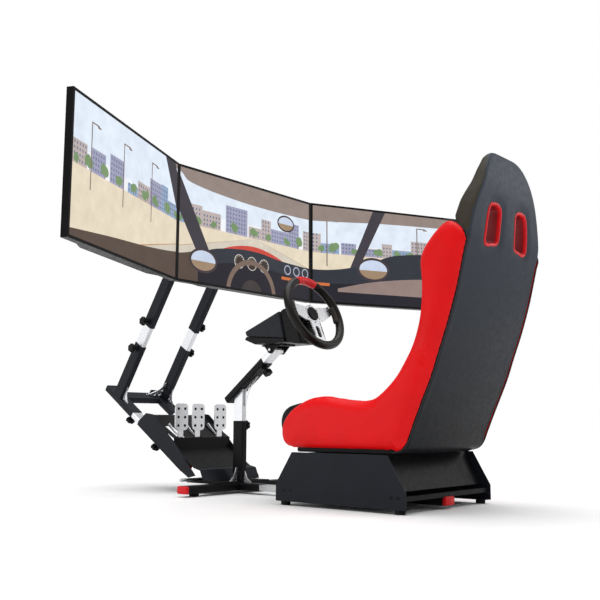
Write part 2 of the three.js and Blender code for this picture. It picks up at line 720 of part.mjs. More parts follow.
// The beam behind the centre display, with its mounting plate, tilt ears and hinge lugs.
function displayBeam() {
  const back = DISPLAY_Y + DISPLAY_DEEP;
  const beamFrame = frameAt([0, back + 4 + TUBE_THIN / 2, DISPLAY_MID], [0, 0, 1], [1, 0, 0]);
  const beam = placed(tubeBody(-344, 344), beamFrame);
  const bore = placed(tubeBore(-345, 345), beamFrame);
  const plate = box([-60, 60], [back + GAP, back + 5], [DISPLAY_MID - 60, DISPLAY_MID + 60]);
  const ear = new THREE.Shape();
  ear.moveTo(back + 4 + TUBE_THIN - 2, DISPLAY_MID - 20);
  ear.absarc(TILT_Y, DISPLAY_MID, 13, -Math.PI / 2, Math.PI / 2);
  ear.lineTo(back + 4 + TUBE_THIN - 2, DISPLAY_MID + 20);
  ear.closePath();
  const ears = SIDES.map(([, side]) => sidePrism(ear, side * 46 - 3, side * 46 + 3, 8));
  const shaft = crossRod(7, 68, TILT_Y, DISPLAY_MID, 18);
  const lugs = [];
  for (const [, side] of SIDES) {
    for (const level of [-17, 12]) {
      const lug = new THREE.Shape();
      lug.moveTo(side * 322, back + 8);
      lug.lineTo(side * (HINGE_X - 8), DISPLAY_Y + HINGE_BACK + 1);
      lug.absarc(side * HINGE_X, DISPLAY_Y + HINGE_BACK, 7, side < 0 ? 0 : Math.PI, side < 0 ? -Math.PI : 0, side < 0);
      lug.lineTo(side * 344, back + 24);
      lug.lineTo(side * 322, back + 24);
      lug.closePath();
      lugs.push(prism(lug, 5, 8).translate(0, 0, DISPLAY_MID + level));
    }
    lugs.push(rod(3.5, DISPLAY_MID - 20, DISPLAY_MID + 20, 12).translate(side * HINGE_X, DISPLAY_Y + HINGE_BACK, 0));
  }
  return cut(join(beam, plate, ...ears, shaft, ...lugs), bore);
}

add('display_beam', displayBeam(), blackPaint);

// Housing of one display: a thin edge frame with a deeper back, open at the front.
// Local frame: X from 0 to the width, the face looks along -Y at y = 0, Z from 0 to the height.
// The centre display has a pocket at each end for the hinge lugs.
function displayHousing(hasPockets) {
  const edge = box([0, DISPLAY_WIDE], [0, DISPLAY_EDGE], [0, DISPLAY_TALL]);
  const back = prism(outline([
    [BACK_LOW_INSET, DISPLAY_EDGE - 1],
    [BACK_INSET, DISPLAY_DEEP],
    [DISPLAY_WIDE - BACK_INSET, DISPLAY_DEEP],
    [DISPLAY_WIDE - BACK_LOW_INSET, DISPLAY_EDGE - 1],
  ]), DISPLAY_TALL - 62).translate(0, 0, 2);
  const recess = box([BEZEL, DISPLAY_WIDE - BEZEL], [-1, 7], [BEZEL, DISPLAY_TALL - BEZEL]);
  const deepHollow = box(
    [BACK_INSET + 5, DISPLAY_WIDE - BACK_INSET - 5],
    [6, DISPLAY_DEEP - 3],
    [16, DISPLAY_TALL - 70],
  );
  const hollow = box([20, DISPLAY_WIDE - 20], [6, DISPLAY_EDGE - 3], [16, DISPLAY_TALL - 16]);
  const middle = DISPLAY_TALL / 2;
  const pocketAt = (low, high) => box([low, high], [DISPLAY_EDGE - 9, DISPLAY_EDGE + 1], [middle - 26, middle + 26]);
  const pockets = hasPockets ? [pocketAt(-1, 14), pocketAt(DISPLAY_WIDE - 14, DISPLAY_WIDE + 1)] : [];
  return cut(join(edge, back), recess, hollow, deepHollow, ...pockets);
}

function screenPanel() {
  const edge = BEZEL + GAP;
  return box([edge, DISPLAY_WIDE - edge], [1, 6.7], [edge, DISPLAY_TALL - edge]);
}

function addDisplay(name, parent, x, y, z) {
  for (const [piece, geometry, material] of [
    ['display', displayHousing(name === 'centre'), blackPlastic],
    ['screen', screenPanel(), screenGlass],
  ]) {
    add(`${name}_${piece}`, geometry, material, parent).position.set(x, y, z);
  }
}

addDisplay('centre', cabinet, -DISPLAY_WIDE / 2, DISPLAY_Y, DISPLAY_LOW);

// Wing arm: a knuckle on the hinge pin, a strap behind the wing and its mounting plate.
// Local frame: the hinge line is at x = y = 0 and the wing runs along side * X.
function wingArm(side) {
  const backFace = DISPLAY_DEEP - HINGE_BACK;
  const centre = WING_START + DISPLAY_WIDE / 2;
  const strap = outline([
    [0, -6],
    [8, 2],
    [34, backFace + 1],
    [centre, backFace + 1],
    [centre, backFace + 7],
    [26, backFace + 7],
    [-5, 4],
  ].map(([x, y]) => [side * x, y]));
  const plate = box(
    [side * centre - 60, side * centre + 60],
    [backFace + GAP, backFace + 3],
    [-60, 60],
  );
  const knuckle = rod(7, -11, 11, 16);
  const body = join(prism(strap, 22).translate(0, 0, -11), plate, knuckle);
  return cut(body, rod(3.8, -20, 20, 16));
}

for (const [name, side] of SIDES) {
  const wing = new THREE.Group();
  wing.position.set(side * HINGE_X, DISPLAY_Y + HINGE_BACK, DISPLAY_MID);
  wing.rotation.z = -side * WING_ANGLE;
  cabinet.add(wing);
  const start = side < 0 ? -WING_START - DISPLAY_WIDE : WING_START;
  addDisplay(name, wing, start, -HINGE_BACK, DISPLAY_LOW - DISPLAY_MID);
  add(`${name}_wing_arm`, wingArm(side), blackPaint, wing);
}

// ---------------------------------------------------------------- knobs on their tubes

addKnob('column_knob', [TUBE_THIN / 2, COLUMN_Y + 6, COLUMN_TOP - 16], [1, 0, 0], [0, 1, 0]);
const armKnobAt = new THREE.Vector3(0, -TUBE_THIN / 2, ARM_OUTER_LENGTH - 20).applyMatrix4(armFrame);
const armUnder = new THREE.Vector3(0, -1, 0).transformDirection(armFrame);
addKnob('arm_knob', armKnobAt.toArray(), armUnder.toArray(), [1, 0, 0]);

const railUnder = postDirection.map((value) => -value);
for (const [name, side] of SIDES) {
  const under = RAIL_LINE - TUBE_THIN / 2;
  addKnob(`rail_knob_${name}`, slopePoint(side * RAIL_X, 1150, under), railUnder, [1, 0, 0]);
  addKnob(`stand_knob_${name}`, slopePoint(side * RAIL_X, ARM_LOW + 17, under), railUnder, [1, 0, 0]);
  const face = side * (POST_X + TUBE_THIN / 2);
  addKnob(`mast_low_knob_${name}`, slopePoint(face, POST_ALONG, POST_LOWER_TOP - 18), [side, 0, 0], [0, 1, 0]);
  addKnob(`mast_high_knob_${name}`, slopePoint(face, POST_ALONG, POST_UPPER_LOW + 18), [side, 0, 0], [0, 1, 0]);
}

// ---------------------------------------------------------------- centre the cabinet on the origin

const bounds = new THREE.Box3().setFromObject(cabinet, true);
cabinet.position.y = -(bounds.min.y + bounds.max.y) / 2;
cabinet.position.z = -bounds.min.z;

export default cabinet;
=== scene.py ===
"""Sit-down racing cabinet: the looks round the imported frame."""

import json
import math
import random

import bmesh
import bpy
import numpy as np
from mathutils import Matrix, Vector
from mathutils.geometry import tessellate_polygon


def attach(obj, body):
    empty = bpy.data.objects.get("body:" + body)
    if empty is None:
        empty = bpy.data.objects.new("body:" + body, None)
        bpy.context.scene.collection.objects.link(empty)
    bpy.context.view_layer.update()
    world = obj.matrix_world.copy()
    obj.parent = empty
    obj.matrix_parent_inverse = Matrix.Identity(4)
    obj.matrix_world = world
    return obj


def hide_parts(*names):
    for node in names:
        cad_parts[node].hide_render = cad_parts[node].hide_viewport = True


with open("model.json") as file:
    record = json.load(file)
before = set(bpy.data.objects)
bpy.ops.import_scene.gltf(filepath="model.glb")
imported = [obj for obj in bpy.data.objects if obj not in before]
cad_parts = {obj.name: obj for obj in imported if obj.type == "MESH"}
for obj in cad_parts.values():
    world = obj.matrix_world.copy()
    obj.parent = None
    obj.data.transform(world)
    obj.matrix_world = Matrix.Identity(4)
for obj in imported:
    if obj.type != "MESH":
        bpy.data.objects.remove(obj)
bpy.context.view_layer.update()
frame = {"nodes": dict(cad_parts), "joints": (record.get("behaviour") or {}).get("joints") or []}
nodes = frame["nodes"]
joints = {joint["child"]: joint for joint in frame["joints"]}

# Shapes are written in millimetres, with Y counted from the rear edge of the seat base.
MIDDLE_Y = 670.7
SEAM_X = 222
SIDES = {"left": -1, "right": 1}
COLUMN_Y = 907


def place(x, y, z):
    return Vector((x, y - MIDDLE_Y, z)) / 1000


# ---------------------------------------------------------------- materials


def noise(tree, where, scale, detail=4.0, roughness=0.55):
    node = tree.nodes.new("ShaderNodeTexNoise")
    node.inputs["Scale"].default_value = scale
    node.inputs["Detail"].default_value = detail
    node.inputs["Roughness"].default_value = roughness
    tree.links.new(where, node.inputs["Vector"])
    return node.outputs["Fac"]


def cells(tree, where, scale):
    node = tree.nodes.new("ShaderNodeTexVoronoi")
    node.feature = "SMOOTH_F1"
    node.inputs["Scale"].default_value = scale
    tree.links.new(where, node.inputs["Vector"])
    return node.outputs["Distance"]


def ramp(tree, fac, stops):
    node = tree.nodes.new("ShaderNodeValToRGB")
    while len(node.color_ramp.elements) < len(stops):
        node.color_ramp.elements.new(0.5)
    for element, (position, color) in zip(node.color_ramp.elements, stops):
        element.position = position
        element.color = (*color, 1)
    tree.links.new(fac, node.inputs["Fac"])
    return node.outputs["Color"]


def span(tree, value, low, high, start=0.3, end=0.7):
    node = tree.nodes.new("ShaderNodeMapRange")
    node.inputs["From Min"].default_value = start
    node.inputs["From Max"].default_value = end
    node.inputs["To Min"].default_value = low
    node.inputs["To Max"].default_value = high
    tree.links.new(value, node.inputs["Value"])
    return node.outputs["Result"]


def shade(color, factor):
    return tuple(min(channel * factor, 1) for channel in color)


def surface(name, color, roughness, metallic=0.0, grain=(), uneven=0.07, tint=0.1, stretch=(1, 1, 1),
            painted_shade_fade=None, **fixed):
    """A material with a slight drift of colour and gloss. Each grain is (kind, scale, depth in mm).

    fade is (lower colour, low height, high height) in metres: painted shade, a colour that darkens down the
    piece to the lower colour where less light falls, and is lighter up it.
    """
    material = bpy.data.materials.new(name)
    material.use_nodes = True
    tree = material.node_tree
    shader = tree.nodes["Principled BSDF"]
    where = tree.nodes.new("ShaderNodeTexCoord").outputs["Object"]
    mapping = tree.nodes.new("ShaderNodeMapping")
    mapping.inputs["Scale"].default_value = stretch
    tree.links.new(where, mapping.inputs["Vector"])
    where = mapping.outputs["Vector"]
    # Painted shade and light: by height, the colour runs from the dark lower colour up to the given one.
    if painted_shade_fade:
        lower, low, high = painted_shade_fade
        split = tree.nodes.new("ShaderNodeSeparateXYZ")
        tree.links.new(where, split.inputs["Vector"])
        height = span(tree, split.outputs["Z"], 0, 1, low, high)
        drift_and_painted_shade = ramp(tree, height, [(0, lower), (1, color)])
    else:
        drift = noise(tree, where, 9)
        drift_and_painted_shade = ramp(tree, drift, [(0.3, shade(color, 1 - tint)), (0.7, shade(color, 1 + tint))])
    tree.links.new(drift_and_painted_shade, shader.inputs["Base Color"])
    gloss = span(tree, noise(tree, where, 60), roughness - uneven, roughness + uneven)
    tree.links.new(gloss, shader.inputs["Roughness"])
    shader.inputs["Metallic"].default_value = metallic
    for socket, value in fixed.items():
        shader.inputs[socket.replace("_", " ")].default_value = value
    normal = None
    for kind, scale, depth in grain:
        height = noise(tree, where, scale) if kind == "noise" else cells(tree, where, scale)
        bump = tree.nodes.new("ShaderNodeBump")
        bump.inputs["Strength"].default_value = 0.6
        bump.inputs["Distance"].default_value = depth / 1000
        tree.links.new(height, bump.inputs["Height"])
        if normal:
            tree.links.new(normal, bump.inputs["Normal"])
        normal = bump.outputs["Normal"]
    if normal:
        tree.links.new(normal, shader.inputs["Normal"])
    return material


RED = (0.72, 0.003, 0.005)
LEATHER_GRAIN = [("cells", 1100, 0.05), ("noise", 2200, 0.03)]
PAINT_GRAIN = [("noise", 900, 0.10)]
DIM = {"Specular_IOR_Level": 0.09}

red_leather = surface("red_leather", RED, 0.40, grain=LEATHER_GRAIN, tint=0.05, Specular_IOR_Level=0.14)
black_leather = surface("black_leather", (0.010, 0.010, 0.012), 0.42, grain=LEATHER_GRAIN, **DIM)
# The slate leather darkens toward the bottom of the seat back and lightens toward the head: painted shade and
# painted light.
slate_leather = surface("slate_leather", (0.044, 0.052, 0.068), 0.44, grain=LEATHER_GRAIN,
                        painted_shade_fade=((0.009, 0.010, 0.012), 0.25, 1.0), **DIM)
brown_leather = surface("brown_leather", (0.046, 0.040, 0.030), 0.5, grain=LEATHER_GRAIN, **DIM)
seam_thread = surface("seam_thread", (0.010, 0.010, 0.011), 0.7, grain=[("noise", 3000, 0.1)])
slate_paint = surface("slate_paint", (0.013, 0.015, 0.020), 0.42, 0.0, PAINT_GRAIN, **DIM)
black_paint = surface("black_paint", (0.006, 0.006, 0.007), 0.4, 0.0, PAINT_GRAIN, **DIM)
black_plastic = surface("black_plastic", (0.007, 0.007, 0.008), 0.38, grain=[("noise", 1400, 0.08)], **DIM)
slate_plastic = surface("slate_plastic", (0.018, 0.020, 0.025), 0.36, grain=[("noise", 1400, 0.06)], **DIM)
red_plastic = surface("red_plastic", (0.60, 0.006, 0.010), 0.33, grain=[("noise", 1200, 0.04)],
                      Specular_IOR_Level=0.2)
# A darker copy of red_plastic: painted shade for the walls inside the seat back slots.
dark_red_plastic = surface("dark_red_plastic", (0.24, 0.006, 0.010), 0.45, grain=[("noise", 1200, 0.06)])
rubber = surface("rubber", (0.010, 0.010, 0.010), 0.6, grain=[("noise", 1600, 0.12)], **DIM)
grip_rubber = surface("grip_rubber", (0.040, 0.036, 0.030), 0.55, grain=[("noise", 1600, 0.12)], **DIM)
rim_leather = surface("rim_leather", (0.009, 0.008, 0.007), 0.36,
                      grain=[("cells", 900, 0.1), ("noise", 2200, 0.05)], Specular_IOR_Level=0.2)
bright_tube = surface("bright_tube", (0.66, 0.67, 0.69), 0.34, 0.85, (), 0.02, 0.02)
steel = surface("steel", (0.50, 0.51, 0.52), 0.3, 1.0, [("noise", 400, 0.03)])
brushed = surface("brushed", (0.70, 0.71, 0.73), 0.34, 0.9, [("noise", 260, 0.03)], 0.04, 0.04, (0.4, 8, 8))
display_glass = surface("display_glass", (0.012, 0.012, 0.014), 0.18, uneven=0.03)

CAD_LOOKS = {
    slate_paint: ["side_beam_left", "side_beam_right", "heel_plate", "seat_side_left", "seat_side_right",
                  "stand_frame", "mast_upper"],
    black_paint: ["floor_frame", "column_outer", "pedal_base_plate", "pedal_deck", "seat_pan", "seat_chassis",
                  "steering_arm", "tilt_bracket", "display_beam", "left_wing_arm", "right_wing_arm"],
    bright_tube: ["floor_inner_tube", "column_inner", "arm_inner", "stand_inner_left", "stand_inner_right",
                  "mast_inner_left", "mast_inner_right", "clutch_pedal", "brake_pedal", "throttle_pedal"],
    steel: ["pedal_hinge_rod", "pedal_shaft", "tilt_shaft", "drive_motor", "wheel_shaft"],
    brushed: ["wheel_spokes"],
    slate_plastic: ["wheel_base_shell"],
    black_plastic: ["wheel_base_nose", "paddle_left", "paddle_right", "centre_display", "left_display",
                    "right_display"],
    display_glass: ["centre_screen", "left_screen", "right_screen"],
}
for look, names in CAD_LOOKS.items():
    for name in names:
        nodes[name].data.materials.clear()
        nodes[name].data.materials.append(look)


# ---------------------------------------------------------------- mesh helpers


def add_object(name, data):
    added = bpy.data.objects.new(name, data)
    bpy.context.scene.collection.objects.link(added)
    return added


def mesh_piece(name, vertices, faces, materials, smooth=True, face_materials=None):
    mesh = bpy.data.meshes.new(name)
    mesh.from_pydata([tuple(v) for v in vertices], [], faces)
    tidy = bmesh.new()
    tidy.from_mesh(mesh)
    bmesh.ops.remove_doubles(tidy, verts=tidy.verts, dist=1e-6)
    bmesh.ops.recalc_face_normals(tidy, faces=tidy.faces)
    tidy.to_mesh(mesh)
    tidy.free()
    for material in materials if isinstance(materials, list) else [materials]:
        mesh.materials.append(material)
    for i, face in enumerate(mesh.polygons):
        face.use_smooth = smooth
        if face_materials and i < len(face_materials):
            face.material_index = face_materials[i]
    return add_object(name, mesh)


def bake(piece):
    """Replaces the mesh by the result of the piece's modifiers."""
    evaluated = piece.evaluated_get(bpy.context.evaluated_depsgraph_get())
    result = bpy.data.meshes.new_from_object(evaluated)
    piece.modifiers.clear()
    piece.data = result
    return piece


def modify(piece, kind, **settings):
    modifier = piece.modifiers.new(kind.lower(), kind)
    for key, value in settings.items():
        setattr(modifier, key, value)
    return piece


def coordinates_of(piece):
    found = np.empty(len(piece.data.vertices) * 3)
    piece.data.vertices.foreach_get("co", found)
    return found.reshape(-1, 3)


def move_to(piece, coordinates):
    piece.data.vertices.foreach_set("co", np.ascontiguousarray(coordinates).ravel())
    piece.data.update()


def millimetres_of(piece):
    return coordinates_of(piece) * 1000 + (0, MIDDLE_Y, 0)


def move_to_millimetres(piece, points):
    move_to(piece, (points - (0, MIDDLE_Y, 0)) / 1000)


def smooth_shading(piece, on=True):
    piece.data.polygons.foreach_set("use_smooth", [on] * len(piece.data.polygons))
    return piece


def round_edges(piece, width, segments=3):
    modify(piece, "BEVEL", width=width / 1000, segments=segments, limit_method="ANGLE",
           angle_limit=math.radians(28), harden_normals=True)
    smooth_shading(piece)
    return bake(piece)


def curve_through(points, steps=8, closed=False):
    """Points on a smooth line through the given points."""
    given = np.array(points, float)
    count = len(given)
    line = []
    last = count if closed else count - 1
    for i in range(last):
        if closed:
            a, b, c, d = (given[(i + k) % count] for k in (-1, 0, 1, 2))
        else:
            a, b, c, d = given[max(i - 1, 0)], given[i], given[i + 1], given[min(i + 2, count - 1)]
        for step in range(steps):
            t = step / steps
            line.append(0.5 * (2 * b + (c - a) * t + (2 * a - 5 * b + 4 * c - d) * t * t
                               + (3 * b - a - 3 * c + d) * t ** 3))
    if not closed:
        line.append(given[-1])
    return np.array(line)


def distance_to_line(points, line, closed=False):
    """Shortest distance from each 2D point to a chain of straight stretches."""
    best = np.full(len(points), 1e9)
    ends = np.roll(line, -1, 0) if closed else line[1:]
    for a, b in zip(line, ends):
        along = b - a
        t = np.clip((points - a) @ along / max(along @ along, 1e-9), 0, 1)
        best = np.minimum(best, np.linalg.norm(points - a - t[:, None] * along, axis=1))
    return best


def between(low, high):
    """Faces between two closed rings of vertex numbers."""
    size = len(low)
    return [[low[i], low[(i + 1) % size], high[(i + 1) % size], high[i]] for i in range(size)]


def through_rings(count, size, closed=False):
    """The faces of a body through rings of vertices that follow each other: closed, or with two ends."""
    rings = [list(range(i * size, (i + 1) * size)) for i in range(count)]
    faces = [] if closed else [rings[0][::-1], rings[-1]]
    following = rings[1:] + rings[:1] if closed else rings[1:]
    for low, high in zip(rings, following):
        faces += between(low, high)
    return faces


def prism(name, outline, low, high, material):
    """A side outline (Y, Z) extruded along X, all in millimetres."""
    vertices = [place(x, y, z) for x in (low, high) for y, z in outline]
    return mesh_piece(name, vertices, through_rings(2, len(outline)), material)


def sheet(loops, low, high, start=0):
    """Vertices and faces of a flat shape between two heights. The loops are its outline and its holes."""
    triangles = tessellate_polygon([[Vector((x, y, 0)) for x, y in loop] for loop in loops])
    flat = [point for loop in loops for point in loop]
    count = len(flat)
    vertices = [Vector((x, y, height)) / 1000 for height in (low, high) for x, y in flat]
    faces = [[start + i for i in tri] for tri in triangles]
    faces += [[start + count + i for i in reversed(tri)] for tri in triangles]
    for loop in loops:
        end = start + len(loop)
        faces += between(range(start, end), range(start + count, end + count))
        start = end
    return vertices, faces


def plate(name, outline, holes, thickness, matrix, material, bevel=0.6):
    """A flat sheet with holes, in its own X-Y plane and thick along Z, put in place by the matrix."""
    vertices, faces = sheet([outline, *holes], -thickness / 2, thickness / 2)
    piece = mesh_piece(name, vertices, faces, material, smooth=False)
    if bevel:
        modify(piece, "BEVEL", width=bevel / 1000, segments=2, limit_method="ANGLE",
               angle_limit=math.radians(60))
        bake(piece)
    piece.data.transform(matrix)
    return piece


def circle(x, y, radius, count=20):
    return [(x + radius * math.cos(2 * math.pi * i / count), y + radius * math.sin(2 * math.pi * i / count))
            for i in range(count)]


def lofted(name, rings, matrix, material):
    """A closed body through rings of (outline, height), in its own frame."""
    vertices = [Vector((x, y, height)) / 1000 for outline, height in rings for x, y in outline]
    piece = mesh_piece(name, vertices, through_rings(len(rings), len(rings[0][0])), material)
    piece.data.transform(matrix)
    return piece


def turned(name, profile, matrix, material, count=32, lobes=None):
    """A profile of (radius, height) turned about local Z.

    lobes(angle) scales the radius of the points that have a third value.
    """
    rings = []
    for radius, height, *soft in profile:
        outline = []
        for i in range(count):
            angle = 2 * math.pi * i / count
            reach = radius * (lobes(angle) if lobes and soft else 1)
            outline.append((reach * math.cos(angle), reach * math.sin(angle)))
        rings.append((outline, height))
    return lofted(name, rings, matrix, material)


def tube_along(name, line, radius, material, closed=False, sides=10):
    """A round cord along a line of points in metres. The radius is one number or one for each point."""
    line = [Vector(point) for point in line]
    count = len(line)
    radii = radius if isinstance(radius, list) else [radius] * count
    vertices = []
    side = None
    for i, point in enumerate(line):
        before = line[i - 1] if closed or i else point
        after = line[(i + 1) % count] if closed or i < count - 1 else point
        along = (after - before).normalized()
        if side is None:
            side = along.orthogonal()
        side = (side - side.dot(along) * along).normalized()
        up = along.cross(side)
        for k in range(sides):
            angle = 2 * math.pi * k / sides
            vertices.append(point + (side * math.cos(angle) + up * math.sin(angle)) * radii[i] / 1000)
    return mesh_piece(name, vertices, through_rings(count, sides, closed), material)


def axes_at(origin, along, across=(1, 0, 0)):
    """A matrix whose Z is along, whose X is near across and whose origin is in metres."""
    z = Vector(along).normalized()
    x = Vector(across)
    x = (x - x.dot(z) * z).normalized()
    y = z.cross(x)
    return Matrix((
        (x.x, y.x, z.x, origin[0]),
        (x.y, y.y, z.y, origin[1]),
        (x.z, y.z, z.z, origin[2]),
        (0, 0, 0, 1),
    ))


def ball_edge(distance, reach):
    """1 at the edge, falling to 0 at the reach, along a quarter circle."""
    inside = 1 - np.clip(distance / reach, 0, 1)
    return 1 - np.sqrt(1 - inside ** 2)


def soften(piece, voxel, rounds):
    modify(piece, "REMESH", mode="VOXEL", voxel_size=voxel / 1000)
    modify(piece, "SMOOTH", factor=0.5, iterations=rounds)
    return smooth_shading(bake(piece))


def inflate(piece, cap, free=1.0, pressure=4.0):
    """Blows the cover up by cloth simulation, with a cap in millimetres on how far a point may move.

    free is how far each point follows the cloth: 0 where the cover is sewn down, 1 where it is loose.
    """
    rest = coordinates_of(piece)
    cloth = piece.modifiers.new("cloth", "CLOTH")
    cloth.settings.use_pressure = True
    cloth.settings.uniform_pressure_force = pressure
    cloth.settings.effector_weights.gravity = 0
    cloth.point_cache.frame_start = 1
    cloth.point_cache.frame_end = 20
    scene = bpy.context.scene
    for step in range(1, 21):
        scene.frame_set(step)
    blown = piece.evaluated_get(bpy.context.evaluated_depsgraph_get()).to_mesh()
    moved = np.array([v.co for v in blown.vertices]) - rest
    piece.modifiers.clear()
    scene.frame_set(1)
    length = np.maximum(np.linalg.norm(moved, axis=1, keepdims=True), 1e-9)
    move_to(piece, rest + moved * np.minimum(1, cap / 1000 / length) * free)
    return piece


def finish_piece(piece, body, slot, *replaced, pad=None):
    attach(piece, body)
    if replaced:
        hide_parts(*replaced)
    return piece


def block(name, outline, low, high, material, width, body, slot, *replaced, segments=3):
    """A side outline extruded along X with rounded edges."""
    piece = round_edges(prism(name, outline, low, high, material), width, segments)
    return finish_piece(piece, body, slot, *replaced)


# ---------------------------------------------------------------- seat shell

BACK_LINE = [(110, 171), (60, 171), (28, 176), (8, 193), (-8, 236), (-36, 296), (-81, 393), (-108, 464),
             (-139, 544), (-169, 636), (-196, 741), (-210, 789), (-221, 885), (-227, 948), (-224, 1000),
             (-216, 1040), (-210, 1060)]
SHELL_THICK = [(0, 17), (741, 20), (800, 45), (840, 62), (890, 58), (948, 47), (1000, 37), (1060, 20)]
SHELL_HALF = [(0, 222), (780, 222), (809, 221), (850, 211), (885, 199), (916, 184), (948, 166), (985, 148),
              (1015, 130), (1038, 111), (1050, 94), (1057, 76), (1060, 56)]
SLOT = [(50, 796), (58, 780), (86, 775), (114, 772), (127, 784), (124, 830), (117, 870), (105, 890),
        (80, 895), (60, 892), (47, 880), (47, 846)]

back_line = curve_through(BACK_LINE, 10)
back_along = np.concatenate([[0], np.cumsum(np.linalg.norm(np.diff(back_line, axis=0), axis=1))])
back_tangent = np.gradient(back_line, back_along, axis=0)


def on_back(x, along, deep):
    """A point on the seat back: x across, a distance along the back line and a depth into it."""
    y = np.interp(along, back_along, back_line[:, 0])
    z = np.interp(along, back_along, back_line[:, 1])
    ty = np.interp(along, back_along, back_tangent[:, 0])
    tz = np.interp(along, back_along, back_tangent[:, 1])
    size = math.hypot(ty, tz)
    return place(x, y + deep * tz / size, z - deep * ty / size)


def along_at(height):
    start = np.argmin(back_line[:, 1])
    return np.interp(height, back_line[start:, 1], back_along[start:])


slot_outlines = {side: np.array([(side * x, along_at(z)) for x, z in curve_through(SLOT, 5, True)])
                 for side in SIDES.values()}


def seat_shell():
    rows = np.concatenate([np.linspace(0, along_at(1030), 110),
                           np.linspace(along_at(1030), back_along[-1], 14)[1:]])
    turn = np.linspace(-math.pi / 2, math.pi / 2, 61)
    across = np.sign(turn) * (0.55 * np.abs(np.sin(turn)) + 0.45 * np.abs(turn) / (math.pi / 2))
    heights = np.interp(rows, back_along, back_line[:, 1])
    halves = np.interp(heights, *zip(*SHELL_HALF))
    halves = halves - 22 * ball_edge(rows, 22)
    thick = np.interp(heights, *zip(*SHELL_THICK))
    edge = np.array(list(zip(halves, rows)) + list(zip(-halves[::-1], rows[::-1])))
    flat = np.array([(half * t, row) for half, row in zip(halves, rows) for t in across])
    depth = distance_to_line(flat, edge, True)
    thickness = np.repeat(thick, len(across))
    round_rear = np.minimum(13, thickness * 0.45)
    round_front = np.minimum(16, thickness * 0.45)
    hollow = np.zeros(len(flat))
    for outline in slot_outlines.values():
        near = distance_to_line(flat, outline, True)
        hollow += 7 * np.clip(1 - near / 34, 0, 1) ** 2
    crown = 5 * np.clip(1 - (flat[:, 0] / 200) ** 2, 0, 1)
    rear = round_rear * ball_edge(depth, 13) + hollow - crown
    front = thickness - round_front * ball_edge(depth, 16)
    vertices = [on_back(x, s, d) for (x, s), d in zip(flat, rear)]
    vertices += [on_back(x, s, d) for (x, s), d in zip(flat, front)]
    wide, tall, count = len(across), len(rows), len(flat)
    faces = []
    for i in range(tall - 1):
        for k in range(wide - 1):
            a = i * wide + k
            faces.append([a, a + 1, a + wide + 1, a + wide])
            faces.append([count + a + wide, count + a + wide + 1, count + a + 1, count + a])
    rim = [i for i in range(wide)] + [i * wide + wide - 1 for i in range(1, tall)]
    rim += [(tall - 1) * wide + k for k in range(wide - 2, -1, -1)]
    rim += [i * wide for i in range(tall - 2, 0, -1)]
    steps = 3
    start = len(vertices)
    for j in range(1, steps):
        for i in rim:
            vertices.append(vertices[i].lerp(vertices[count + i], j / steps))
    size = len(rim)
    rings = [rim] + [[start + j * size + k for k in range(size)] for j in range(steps - 1)]
    rings += [[count + i for i in rim]]
    for low, high in zip(rings, rings[1:]):
        faces += between(high, low)
    piece = mesh_piece("seat_back_cover", vertices, faces, [slate_leather, brown_leather])
    for outline in slot_outlines.values():
        cutter_points = [on_back(x, s, d) for d in (-30, 100) for x, s in outline]
        cutter = mesh_piece("cutter", cutter_points, through_rings(2, len(outline)), black_plastic)
        modify(piece, "BOOLEAN", operation="DIFFERENCE", object=cutter, solver="EXACT")
        bake(piece)
        bpy.data.objects.remove(cutter)
    for face in piece.data.polygons:
        sideways = abs(face.normal.x) > 0.62 and face.center.z > 0.8 and abs(face.center.x) > 0.1
        face.material_index = 1 if sideways else 0
    smooth_shading(piece)
    return finish_piece(piece, "seat_unit", "slate_vinyl", "seat_shell")


seat_shell()


def inset(outline, amount):
    """Moves a closed outline inwards. It runs counter-clockwise or clockwise."""
    before, after = np.roll(outline, 1, 0), np.roll(outline, -1, 0)
    tangent = after - before
    tangent /= np.linalg.norm(tangent, axis=1, keepdims=True)
    normal = np.stack([-tangent[:, 1], tangent[:, 0]], 1)
    area = 0.5 * np.sum(outline[:, 0] * after[:, 1] - after[:, 0] * outline[:, 1])
    return outline + normal * amount * np.sign(area)


def slot_bezel(name, side):
    outline = slot_outlines[side]
    deep = np.interp(840, *zip(*SHELL_THICK)) + 1
    profile = [(-4, 12, 1), (-7, 6, 0), (-6, 1.5, 0), (-3, -0.5, 0), (0, -0.8, 0), (3, 0.5, 0), (4.5, 4, 0),
               (5, 9, 1), (6, deep - 6, 1), (5, deep, 0), (2, deep + 2, 0), (-2, deep + 1, 0),
               (-2.5, deep - 4, 1)]
    vertices = []
    for amount, depth, _ in profile:
        vertices += [on_back(x, s, depth) for x, s in inset(outline, amount)]
    faces = through_rings(len(profile), len(outline), True)
    # Faces between two profile points with a third value of 1, the walls inside the slot, take the darker
    # red: painted shade in the recess.
    shaded_walls = [here[2] * following[2] for here, following in zip(profile, profile[1:] + profile[:1])
             for _ in outline]
    piece = mesh_piece(name, vertices, faces, [red_plastic, dark_red_plastic], face_materials=shaded_walls)
    return finish_piece(piece, "seat_unit", "red_vinyl")


for name, side in SIDES.items():
    slot_bezel(f"slot_bezel_{name}", side)

# ---------------------------------------------------------------- seat bolsters

BOLSTER_FRONT = [(60, 171), (240, 171), (400, 171), (450, 174), (482, 188), (495, 218), (489, 256),
                 (460, 292), (417, 318), (367, 336), (310, 342), (262, 338), (179, 330), (133, 333),
                 (100, 350), (55, 387), (17, 428), (-16, 475), (-38, 532), (-50, 592), (-54, 663),
                 (-51, 728), (-63, 763), (-89, 797), (-118, 826), (-134, 836)]
BOLSTER_REAR = [(-134, 836), (-152, 832), (-176, 818), (-196, 796), (-204, 770), (-196, 741), (-169, 636),
                (-139, 544), (-108, 464), (-81, 393), (-36, 296), (-9, 236), (7, 200), (26, 180), (60, 171)]
BOLSTER_INNER = 180
BOLSTER_OUTER = 244
bolster_front = curve_through(BOLSTER_FRONT, 6)
bolster_rear = curve_through(BOLSTER_REAR, 6)


